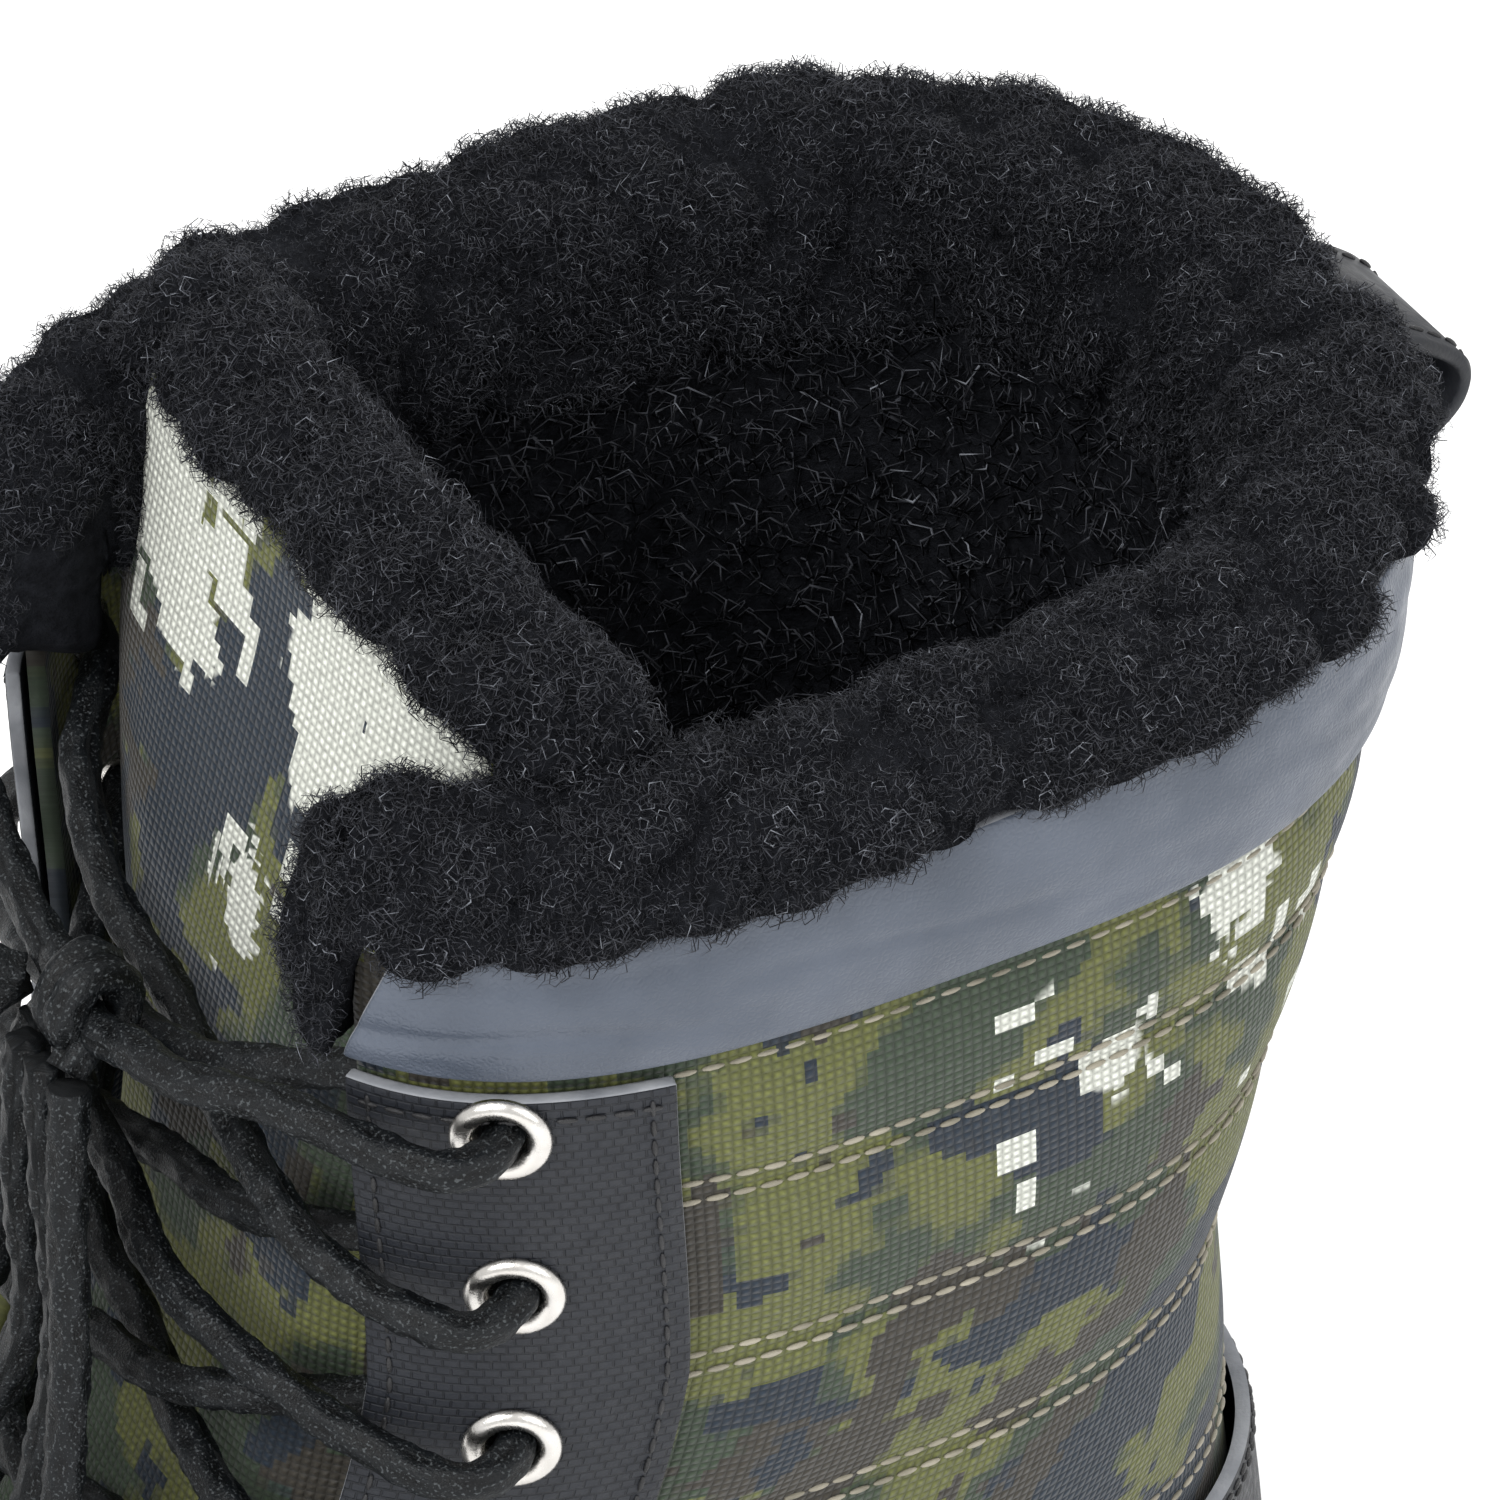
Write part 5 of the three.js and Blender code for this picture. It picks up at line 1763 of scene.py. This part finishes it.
    def _eyelet(self, number: int, place: tuple[float, float], side: Side) -> None:
        """One rolled eyelet."""
        fit = self.kit.fit
        face = fit.overlay + fit.lift + 0.05
        middle = (self.eyelet_hole + self.eyelet_rim) / 2
        half = (self.eyelet_rim - self.eyelet_hole) / 2
        arc = np.linspace(math.pi, 0, 13)
        roll = np.column_stack([middle + half * np.cos(arc), face + self.eyelet_height * np.sin(arc)])
        inside = -fit.canvas - 0.3
        profile = np.vstack([
            [(self.eyelet_hole, inside)], roll,
            [(self.eyelet_hole + 0.6, face), (self.eyelet_hole + 0.6, inside)],
        ])
        centre, out, inwards = self.kit.eyelet_axes(place, side)
        other = np.cross(out, inwards)

        def put(points: Array) -> Array:
            return centre + points[:, :1] * inwards + points[:, 1:2] * other + points[:, 2:] * out

        name = f"eyelet_ring_{side.word}_{number}"
        piece = turned(name, profile, 40, self.kit.wardrobe["nickel"], put)
        self.kit.ride(piece, Body.BOOT, "nickel", f"eyelet_{side.word}_{number}")

    def _tan_rows(self) -> None:
        """The rows of tan thread round the canvas."""
        form = self.kit.form
        for side in Side:
            lines = []
            for i, section in enumerate(self._row_sections):
                first = float(self.kit.facing_end(section)) + 0.02
                last = math.pi - 0.2 if section < 4.2 else math.pi - 1.3
                gaps = (0.0,) if i == 0 else (-self.double_gap / 2, self.double_gap / 2)
                for gap in gaps:
                    s = section + gap / self._run_per_section(float(section))
                    angle = np.linspace(first, last, 90) * side.value
                    along = np.full(90, s)
                    lines.append(form.at(along, angle, self._canvas_inset(along, angle) - 0.12))
            thread = self.kit.stitch.sew(
                f"tan_thread_{side.word}", lines, self.kit.wardrobe["tan_thread"], self.thread_pitch,
                self.thread_length, self.thread_width,
            )
            self.kit.ride(thread, Body.BOOT, "camo_canvas")

    def _run_per_section(self, section: float) -> float:
        """How far the front line runs in one section, near a section, in millimetres."""
        ends = self.kit.form.bare(np.array([section - 0.05, section + 0.05]), 0.6)
        return float(np.linalg.norm(ends[1] - ends[0])) / 0.1

    def _band(self) -> None:
        """The padded leather band, with long creases."""
        form, fit = self.kit.form, self.kit.fit
        high, low = form.section_at_height(221), form.section_at_height(self.band_bottom)

        def face(section: Array, angle: Array) -> Array:
            t = (section - high) / (low - high)
            around = form.bare(section, angle)
            x, y, z = np.moveaxis(around, -1, 0)
            slanted = np.stack([y * 0.7 + 1.6 * z, x, z * 2], -1)
            crease = 1 - np.abs(rough_noise(slanted, 15.0, 3.0)) * 3.2
            from_end = np.minimum(angle, TAU - angle) - form.angle_across(section, fit.throat_half)
            crease = crease * (0.35 + 0.65 * np.exp(-np.maximum(from_end, 0) * 2.2))
            swell = 1.3 * np.sin(math.pi * np.clip(t, 0, 1)) ** 0.6
            edge = np.clip(np.minimum(t, 1 - t) * 6, 0, 1)
            return -fit.lift - fit.overlay - swell + 0.75 * np.clip(crease, 0, 1) * edge

        def end(section: Array) -> Array:
            back = 4.5 * np.clip((low - section) / (low - high), 0, 1)
            return form.angle_across(section, fit.throat_half + back)

        layer = Layer(
            high, low, end, lambda v: TAU - end(v), face,
            flat(-fit.lift), rows=26, cols=380,
        )
        finish = self.kit.wardrobe.with_edges("band_leather")
        piece = layer.make(form, "leather_band", finish)
        z = np.array([v.co for v in piece.data.vertices])
        top = band_top(z[:, 1] / MM)
        risen = (z[:, 2] / MM - self.band_bottom) * (top - self.band_bottom) / 18.0
        z[:, 2] = (self.band_bottom + risen) * MM
        piece.data.vertices.foreach_set("co", z.ravel())
        soften(piece, 0.4)
        self.kit.ride(piece, Body.BOOT, "band_leather", "collar_band")

    def _backstay(self) -> None:
        """The strip over the back seam."""
        form, fit = self.kit.form, self.kit.fit
        layer = Layer(
            form.section_at_height(self.band_bottom - 1), 4.25,
            level(math.pi - self.backstay_half), level(math.pi + self.backstay_half),
            flat(-fit.lift - fit.overlay), flat(-fit.lift),
            rows=70, cols=14,
        )
        finish = self.kit.wardrobe.with_edges("facing_leather")
        piece = layer.make(form, "back_strip", finish)
        soften(piece, 0.35)
        self.kit.ride(piece, Body.BOOT, "facing_leather", "backstay")


def band_top(y: Array) -> Array:
    """The height of the band's upper edge, which rises towards the back."""
    return np.interp(y, [-50, -35, 15, 78], [215.5, 218, 220.5, 223.0])


# ----------------------------------------------------------------------------
# The fleece and the tongue
# ----------------------------------------------------------------------------
@dataclass
class Collar:
    """The thick fleece roll round the leg opening, and the fleece lining."""

    kit: Kit
    middle: float = 224.0
    rings: int = 230
    sides: int = 64
    clump: float = 7.0
    rise: float = 3.2
    fibres: int = 7200
    sectors: int = 6
    lining: tuple[float, float] = (8.9, 13.1)
    top_line: Pairs = ((-1.2, 3.4), (3.2, 4.8), (7.4, 4.4), (11.4, 1.4))
    inside_line: Pairs = ((14, -4), (14.6, -11), (13.6, -12))
    under_line: Pairs = ((13.4, -1.8), (3, -1.8), (-0.5, -1.8))
    end_half: float = 28.5
    end_drop: float = -20.0

    def build(self) -> None:
        """Makes the roll, its pile and the lining."""
        rings, gaps = self._rings()
        roll = outlined("fleece_roll", rings, self.kit.wardrobe["black_fleece"])
        self.kit.ride(roll, Body.BOOT, "black_fleece", "collar_fleece")
        shown = rings[:, self.shown]
        steps = np.linspace(0, len(rings) - 1, self.sectors + 1).astype(int)
        for i, (a, b) in enumerate(zip(steps[:-1], steps[1:])):
            part = shown[a : b + 1]
            emitter = make_piece(
                "emitter", part.reshape(-1, 3), grid_faces(part.shape[0], part.shape[1]),
                [self.kit.wardrobe["pile"]], values={"gap": gaps[a : b + 1, self.shown].ravel()},
            )
            self._face_up(emitter)
            pile = self.kit.grow_pile(f"collar_pile_{i + 1}", emitter, self.fibres, 11 + i, size=0.72)
            self.kit.ride(pile, Body.BOOT, "black_fleece")
        self._lining()

    def _face_up(self, emitter: Piece) -> None:
        """Turns an open mesh's faces so that most of them look up."""
        if sum(face.area * face.normal.z for face in emitter.data.polygons) < 0:
            emitter.data.flip_normals()

    @property
    def shown(self) -> slice:
        """Which part of each ring can be seen: outer side, top and inner side."""
        return slice(2, int(self.sides * 0.62))

    def _rings(self) -> tuple[Array, Array]:
        """The roll's rings of points with its clumps, and how deep between clumps each point lies."""
        form, fit = self.kit.form, self.kit.fit
        section = form.section_at_height(self.middle)
        first = float(form.angle_across(section, self.end_half))
        band = float(form.angle_across(section, fit.throat_half + 2.0))
        angles = np.linspace(first, TAU - first, self.rings)
        rings = []
        for i, angle in enumerate(angles):
            y = float(form.bare(section, angle)[1])
            low = float(band_top(np.array(y))) - self.middle + 0.3
            turn = min(angle, TAU - angle)
            hang = min(max((band - 0.01 - turn) / 0.03, 0.0), 1.0)
            low = low + (self.end_drop - low) * hang
            under = [(inset, rise + (self.end_drop - rise) * hang) for inset, rise in self.under_line]
            side = ((-0.6, low), (-2.3, low + 0.6), (-2.9, low + 3.0))
            knots = [*side, *self.top_line, *self.inside_line, *under]
            slim = min(0.5 + 0.5 * (turn - first) / 0.5, 1.0)
            knots = [(inset * slim if inset > 0 else inset, rise) for inset, rise in knots]
            profile = self._even(spline_points(knots, 400, closed=True))
            ring = form.at(np.full(self.sides, section), np.full(self.sides, angle), profile[:, 0])
            ring[:, 2] = self.middle + profile[:, 1]
            end = min(i, self.rings - 1 - i) / 6.0
            keep = math.sqrt(max(0.0, 1 - (1 - min(end, 1.0)) ** 2)) * 0.8 + 0.2
            middle = ring.mean(0)
            rings.append(middle + (ring - middle) * keep)
        rings = np.array(rings)
        middles = rings.mean(1, keepdims=True)
        way = rings - middles
        way /= np.linalg.norm(way, axis=-1, keepdims=True)
        clumps = clump_noise(rings, self.clump)
        bumps = clumps * self.rise + rough_noise(rings, 14.0) * 1.0
        bumps[:, int(self.sides * 0.62) :] *= 0.15
        bumps[:, :2] *= 0.2
        return rings + way * bumps[..., None], 1 - clumps

    def _even(self, line: Array) -> Array:
        """A closed line resampled to even steps, one for each side of the roll."""
        closed = np.vstack([line, line[:1]])
        run = np.concatenate([[0], np.linalg.norm(np.diff(closed, axis=0), axis=1).cumsum()])
        even = np.arange(self.sides) / self.sides * run[-1]
        return np.column_stack([np.interp(even, run, closed[:, j]) for j in (0, 1)])

    def _lining(self) -> None:
        """The fleece inside the leg."""
        form, fit = self.kit.form, self.kit.fit

        def start(section: Array) -> Array:
            return np.where(section < fit.throat_foot, self.kit.facing_end(section) * 0.97, 0.9)

        def inner(section: Array, angle: Array) -> Array:
            points = form.at(section, angle, self.lining[1])
            return self.lining[1] - 0.6 + clump_noise(points, 7.0) * 1.6

        layer = Layer(
            form.section_at_height(220), fit.vamp_start - 0.03, start, lambda v: TAU - start(v),
            flat(self.lining[0]), inner, rows=90, cols=150,
        )
        piece = layer.make(form, "leg_lining", [self.kit.wardrobe["black_fleece"]])
        cutter = self.kit.below(UPPER_CLEAR)
        cut_away(piece, cutter)
        discard(cutter)
        self.kit.ride(piece, Body.BOOT, "black_fleece", "fleece_lining_shaft")
        upper = Layer(
            form.section_at_height(219), 3.4, start, lambda v: TAU - start(v), inner, inner, rows=40, cols=130
        )
        points, _ = upper.grid(form, inner)
        finish = [self.kit.wardrobe["pile"]]
        emitter = make_piece("emitter", points.reshape(-1, 3), grid_faces(40, 130), finish)
        self._face_in(emitter)
        pile = self.kit.grow_pile("leg_pile", emitter, self.fibres, 31, size=1.3, lean=2.8)
        self.kit.ride(pile, Body.BOOT, "black_fleece")

    def _face_in(self, emitter: Piece) -> None:
        """Turns an open mesh's faces towards the leg's middle line."""
        votes = sum(
            face.area * face.normal.dot(Vector((0, 0.015, face.center.z)) - face.center)
            for face in emitter.data.polygons
        )
        if votes < 0:
            emitter.data.flip_normals()


@dataclass
class Tongue:
    """The padded tongue: printed cover, foam, fleece back and fleece roll along its top."""

    kit: Kit
    cover: float = 1.2
    foam: float = 5.0
    pile: float = 4.5
    top: float = 232.0
    foot: float = 7.5
    lean_from: float = 158.0
    lean_to: float = 226.0
    top_half: float = 42.0
    top_y: float = -31.0
    slope: float = 0.16
    roll_line: Pairs = (
        (1.6, 0.2), (0.6, 2.4), (2.0, 5.4), (6.2, 7.4), (10.8, 5.6), (12.6, 0.6), (11.6, -4), (10.8, -1.4),
        (5, -0.6),
    )

    def build(self) -> None:
        """Makes the tongue's layers."""
        step = self.cover + 0.3
        back = step + self.foam + 0.3
        layers = (
            ("tongue_canvas", "camo_tongue", "camo_canvas", 0.0, self.cover, "cover"),
            ("tongue_foam", "foam", "foam", step, step + self.foam, "padding"),
            ("tongue_back", "black_fleece", "black_fleece", back, back + self.pile, "fleece"),
        )
        form = self.kit.form
        top = form.section_at_height(self.top)
        for name, finish, slot, outer, inner, ply in layers:
            high = top if name == "tongue_canvas" else form.section_at_height(self.top - 1.6)
            layer = Layer(
                high, self.foot, lambda v: -self._edge(v), self._edge,
                lambda v, a, d=outer: form.tongue_face(v, a) + d,
                lambda v, a, d=inner: form.tongue_face(v, a) + d, rows=130, cols=60,
                reshape=(lambda p, d=outer: self._lean(p, d), lambda p, d=inner: self._lean(p, d)),
            )
            piece = layer.make(form, name, [self.kit.wardrobe[finish]])
            if name == "tongue_canvas":
                soften(piece, 0.4)
            self.kit.bend_at_fold(piece, slot, f"tongue_{ply}", f"tongue_top_{ply}")
        self._roll()

    def _edge(self, section: Array) -> Array:
        """The angle of the tongue's side edge."""
        form = self.kit.form
        return form.angle_across(section, form.tongue_half(section))

    def _lean(self, points: Array, depth: float) -> Array:
        """Points of a layer drawn back to the straight, leaning top of the tongue.

        Args:
            points: the layer's points as they follow the boot's form.
            depth: how deep the layer lies behind the tongue's face.

        Returns:
            The points moved.
        """
        t = np.clip((points[..., 2] - self.lean_from) / (self.lean_to - self.lean_from), 0, 1)
        t = t * t * (3 - 2 * t)
        across = np.clip(np.abs(points[..., 0]) / self.top_half, 0, 1.1)
        straight = self.top_y - self.slope * (self.top - points[..., 2]) + depth + 3.0 * across**4
        soft = 0.9 * rough_noise(points, 24.0, 5.0) * t
        moved = points.copy()
        moved[..., 1] += (straight - points[..., 1]) * t + soft
        moved[..., 0] *= 1 - 0.03 * t
        moved[..., 2] -= 5.0 * np.clip(across - 0.72, 0, 1) ** 2 * t * 9
        return moved

    def _roll(self) -> None:
        """The fleece roll along the tongue's top."""
        count, sides = 84, 40
        rings = []
        for i in range(count):
            x = self.top_half * (2 * i / (count - 1) - 1) * 0.99
            across = abs(x) / self.top_half
            profile = spline_points(self.roll_line, sides, closed=True)
            y, z = profile[:, 0] + self.top_y, profile[:, 1] + self.top - 0.4
            ring = np.column_stack([np.full(sides, x), y, z])
            ring[:, 1] += 3.0 * across**4
            ring[:, 2] -= 45.0 * max(across - 0.72, 0) ** 2
            end = min(i, count - 1 - i) / 4.0
            keep = math.sqrt(max(0.0, 1 - (1 - min(end, 1.0)) ** 2)) * 0.8 + 0.2
            middle = ring.mean(0)
            rings.append(middle + (ring - middle) * keep)
        rings = np.array(rings)
        way = rings - rings.mean(1, keepdims=True)
        way /= np.linalg.norm(way, axis=-1, keepdims=True)
        bumps = clump_noise(rings, 6.5) * 2.4 + rough_noise(rings, 12.0) * 0.8
        bumps[:, int(sides * 0.7) :] *= 0.2
        bumps[:, 0] *= 0.2
        rings = rings + way * bumps[..., None]
        roll = outlined("tongue_roll", rings, self.kit.wardrobe["black_fleece"])
        self.kit.ride(roll, Body.TONGUE_TOP, "black_fleece", "tongue_top_roll")
        shown = rings[:, 0 : int(sides * 0.72)]
        emitter = make_piece(
            "emitter", shown.reshape(-1, 3), grid_faces(count, shown.shape[1]), [self.kit.wardrobe["pile"]]
        )
        if sum(face.area * face.normal.z for face in emitter.data.polygons) < 0:
            emitter.data.flip_normals()
        pile = self.kit.grow_pile("tongue_pile", emitter, 7600, 47, size=0.72)
        self.kit.ride(pile, Body.TONGUE_TOP, "black_fleece")


# ----------------------------------------------------------------------------
# The pull loop and the foot
# ----------------------------------------------------------------------------
@dataclass
class PullLoop:
    """A folded leather strap sewn to the back of the band."""

    kit: Kit
    width: float = 20.0
    thickness: float = 1.6
    foot: tuple[float, float] = (81.4, 204.0)
    line: Pairs = (
        (1.2, -3.0), (1.9, 0.6), (4.6, 2.8), (9.2, 4.4), (12.2, 7.4), (12.2, 11.2), (8.6, 14.4), (5.2, 16.2),
        (4.0, 14.4), (4.0, 10.0), (3.7, 6.4),
    )

    def build(self) -> None:
        """Makes the strap and its stitching."""
        route = spline_points(self.line, 90) + self.foot
        way = np.gradient(route, axis=0)
        way /= np.linalg.norm(way, axis=1, keepdims=True)
        off = np.column_stack([-way[:, 1], way[:, 0]])
        half, thick, round_by = self.width / 2, self.thickness / 2, 0.45
        section = [
            (-half, -thick + round_by), (-half + round_by, -thick), (half - round_by, -thick),
            (half, -thick + round_by), (half, thick - round_by), (half - round_by, thick),
            (-half + round_by, thick), (-half, thick - round_by),
        ]
        rings = np.array([
            [(x, *(place + side * t)) for x, t in section] for place, side in zip(route, off)
        ])
        piece = outlined("pull_strap", rings, self.kit.wardrobe["strap"])
        layer = piece.data.uv_layers.new(name="cloth")
        for loop in piece.data.loops:
            co = piece.data.vertices[loop.vertex_index].co
            layer.uv[loop.index].vector = (co.x, co.y + co.z)
        self.kit.ride(piece, Body.PULL_LOOP, "facing_leather", "pull_loop")
        edge = half - 2.2
        face = route[4:70] - off[4:70] * (thick + 0.1)
        lines = [np.column_stack([np.full(66, x), face]) for x in (-edge, edge)]
        thread = self.kit.stitch.sew("strap_thread", lines, self.kit.wardrobe["black_thread"], 2.5, 2.1, 0.6)
        self.kit.ride(thread, Body.PULL_LOOP, "facing_leather")


@dataclass
class Foot:
    """The vamp, toe cap, heel counter and the whole sole unit, with what is hidden inside."""

    kit: Kit
    midsole: float = 14.0
    tread_depth: float = 4.5
    heel_half: float = 1.25
    heel_top: float = 4.3
    rand_top: float = 4.6

    def build(self) -> None:
        """Makes every piece of the foot."""
        self._upper()
        self._sole()
        self._hidden()

    def _upper(self) -> None:
        """The vamp, toe cap and heel counter."""
        form, fit = self.kit.form, self.kit.fit
        leather = self.kit.wardrobe.with_edges("facing_leather")

        cap_out = fit.cap_in - fit.overlay
        vamp = Layer(
            fit.vamp_start + 0.02, form.tip, np.zeros_like, level(TAU), flat(0), flat(fit.canvas), 100, 130,
            wrap=True,
        ).make(form, "vamp_leather", leather)
        self._trim(vamp, UPPER_CLEAR)
        self.kit.bend_at_toe(vamp, "facing_leather", "vamp")
        cap = Layer(
            fit.toe_cap_start, form.tip, np.zeros_like, level(TAU), flat(cap_out), flat(fit.cap_in), 60, 120,
            wrap=True,
        ).make(form, "toe_cap_leather", leather)
        self._trim(cap, fit.rand_height + UPPER_CLEAR)
        self.kit.ride(cap, Body.TOE, "facing_leather", "toe_cap")
        heel = Layer(
            self.heel_top, fit.vamp_start - 0.3, level(math.pi - self.heel_half),
            level(math.pi + self.heel_half), flat(cap_out), flat(fit.cap_in), 70, 90,
        ).make(form, "heel_leather", leather)
        self._trim(heel, fit.rand_height + UPPER_CLEAR)
        self.kit.ride(heel, Body.BOOT, "facing_leather", "heel_counter")
        self._upper_thread(cap_out)

    def _trim(self, piece: Piece, rise: float) -> None:
        """Cuts a piece off at a line above the sole and rounds its edges."""
        cutter = self.kit.below(rise)
        cut_away(piece, cutter)
        discard(cutter)
        soften(piece, 0.3)

    def _upper_thread(self, cap_out: float) -> None:
        """Double black rows along the toe cap's and heel counter's edges."""
        form, fit = self.kit.form, self.kit.fit
        thread = self.kit.wardrobe["black_thread"]
        angle = np.linspace(-1.45, 1.45, 160)
        rows = [form.at(np.full(160, fit.toe_cap_start + d), angle, cap_out - 0.1) for d in (0.1, 0.22)]
        toe = self.kit.stitch.sew("toe_cap_thread", rows, thread, 2.6, 2.1, 0.65)
        self.kit.ride(toe, Body.TOE, "facing_leather")
        rows = []
        for gap in (0.05, 0.1):
            around = np.linspace(math.pi - self.heel_half + gap, math.pi + self.heel_half - gap, 140)
            rows.append(form.at(np.full(140, self.heel_top + gap), around, cap_out - 0.1))
        heel = self.kit.stitch.sew("heel_thread", rows, thread, 2.6, 2.1, 0.65)
        self.kit.ride(heel, Body.BOOT, "facing_leather")

    def _rim(self, count: int, grow: float) -> Array:
        """The sole's outline from below, grown outwards by a distance."""
        rim = spline_points([(x, y) for x, y in OUTLINE], count, closed=True)
        way = np.roll(rim, -1, 0) - np.roll(rim, 1, 0)
        way /= np.linalg.norm(way, axis=1, keepdims=True)
        return rim + np.column_stack([-way[:, 1], way[:, 0]]) * grow

    def _prism(self, name: str, grow: float, finish: str, height: float = 60.0) -> Piece:
        """An upright block with the sole's outline."""
        rim = self._rim(150, grow)
        n = len(rim)
        points = np.vstack([np.column_stack([rim, np.full(n, z)]) for z in (-1.0, height)])
        faces = [tuple(range(n)), tuple(range(2 * n - 1, n - 1, -1))]
        faces += [(i, (i + 1) % n, n + (i + 1) % n, n + i) for i in range(n)]
        return make_piece(name, points, faces, [self.kit.wardrobe[finish]])

    def _keep_within(self, piece: Piece, block: Piece) -> None:
        """Keeps only what lies inside a helper solid."""
        keep = piece.modifiers.new("shape", "BOOLEAN")
        keep.operation = "INTERSECT"
        keep.solver = "EXACT"
        keep.object = block
        settle(piece)
        discard(block)

    def _sole(self) -> None:
        """The outsole with its lugs, the midsole and the rand."""
        form, fit, kit = self.kit.form, self.kit.fit, self.kit
        y = np.linspace(92, -240, 180)
        upper = sole_top(y) - self.midsole - 0.3
        lower = np.minimum(tread_height(y) + self.tread_depth, upper - 2.0)
        outsole = self._prism("tread_rubber", 0.0, "black_rubber")
        slab = kit.block("middle", np.column_stack([y, lower]), np.column_stack([y, upper]))
        self._keep_within(outsole, slab)
        soften(outsole, 0.8, 3)
        kit.bend_at_toe(outsole, "black_rubber", "outsole")
        kit.bend_at_toe(self._lugs(), "black_rubber")
        midsole = self._prism("midsole_foam", -1.0, "foam")
        self._keep_within(midsole, kit.block("upper", side_line(-self.midsole), side_line(0)))
        soften(midsole, 0.6, 2)
        kit.bend_at_toe(midsole, "foam", "midsole")
        rand = Layer(
            self.rand_top, form.tip, np.zeros_like, level(TAU),
            flat(fit.rand_out), flat(fit.rand_in), 110, 130,
            wrap=True,
        ).make(form, "rubber_rand", [kit.wardrobe["black_rubber"]])
        self._keep_within(rand, kit.block("rand_band", side_line(0.3), side_line(fit.rand_height)))
        soften(rand, 0.5, 2)
        kit.bend_at_toe(rand, "black_rubber", "rand")

    def _lugs(self) -> Piece:
        """The tread's lugs, ringed round the sole and spread over its middle."""
        places = [self._rim(56, -6.5)]
        grid = np.array([(x, y) for y in np.arange(-212, 72, 14.5) for x in np.arange(-32, 40, 14.0)])
        grid[:, 0] += np.where(np.round((grid[:, 1] + 212) / 14.5) % 2 == 0, 3.5, -3.5)
        reach = np.array([np.linalg.norm(places[0] - g, axis=1).min() for g in grid])
        inside = np.array([self._within(g, places[0]) for g in grid])
        places.append(grid[inside & (reach > 9.5)])
        xy = np.vstack(places)
        ground = tread_height(xy[:, 1])
        keep = (ground < 6.5) & ((xy[:, 1] > -12) | (xy[:, 1] < -70))
        xy, ground = xy[keep], ground[keep]
        half = (self.tread_depth + 0.6) / 2
        points = np.column_stack([xy, ground + 2 * half])
        mesh = bpy.data.meshes.new("lugs")
        mesh.from_pydata((points * MM).tolist(), [], [])
        piece = bpy.data.objects.new("tread_lugs", mesh)
        bpy.context.scene.collection.objects.link(piece)
        return self.kit.lug.run(
            piece, Size=(5.2 * MM, 5.2 * MM, half * MM), Material=self.kit.wardrobe["black_rubber"]
        )

    def _within(self, place: Array, rim: Array) -> bool:
        """Whether a place on the ground is inside a closed outline."""
        a, b = rim, np.roll(rim, -1, 0)
        crosses = (a[:, 1] > place[1]) != (b[:, 1] > place[1])
        rise = np.where(b[:, 1] == a[:, 1], 1e-9, b[:, 1] - a[:, 1])
        at = a[:, 0] + (place[1] - a[:, 1]) / rise * (b[:, 0] - a[:, 0])
        return bool((crosses & (place[0] < at)).sum() % 2)

    def _hidden(self) -> None:
        """The pieces inside: those at the toe bend, the rest take their finishes as they are."""
        bending = {
            "insulation_foot": "wadding", "fleece_lining_foot": "black_fleece", "insole_board": "board",
            "footbed": "foam",
        }
        for node, finish in bending.items():
            self.kit.bend_at_toe(self.kit.copy(node, finish), finish, node)
        rigid = {
            "insulation_shaft": "wadding", "heel_stiffener": "board", "toe_puff": "board", "shank": "steel",
        }
        for node, finish in rigid.items():
            mesh_slots = self.kit.nodes[node].material_slots
            mesh_slots[0].link = "OBJECT"
            mesh_slots[0].material = self.kit.wardrobe[finish]


def corners() -> list[list[float]]:
    """The shown object's lowest and highest corners."""
    return [list(corner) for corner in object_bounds()]


def main() -> None:
    """Builds the whole scene."""
    logging.basicConfig(level=logging.INFO, format="%(name)s: %(message)s")
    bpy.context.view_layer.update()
    kit = Kit(frame)
    studio = Studio()
    studio.camera()
    Lacing(kit).build()
    studio.build()
    for assembly in (Shaft(kit), Collar(kit), Tongue(kit), PullLoop(kit), Foot(kit)):
        assembly.build()
    discard(kit.fibre)


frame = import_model()

if __name__ == "__main__":
    main()
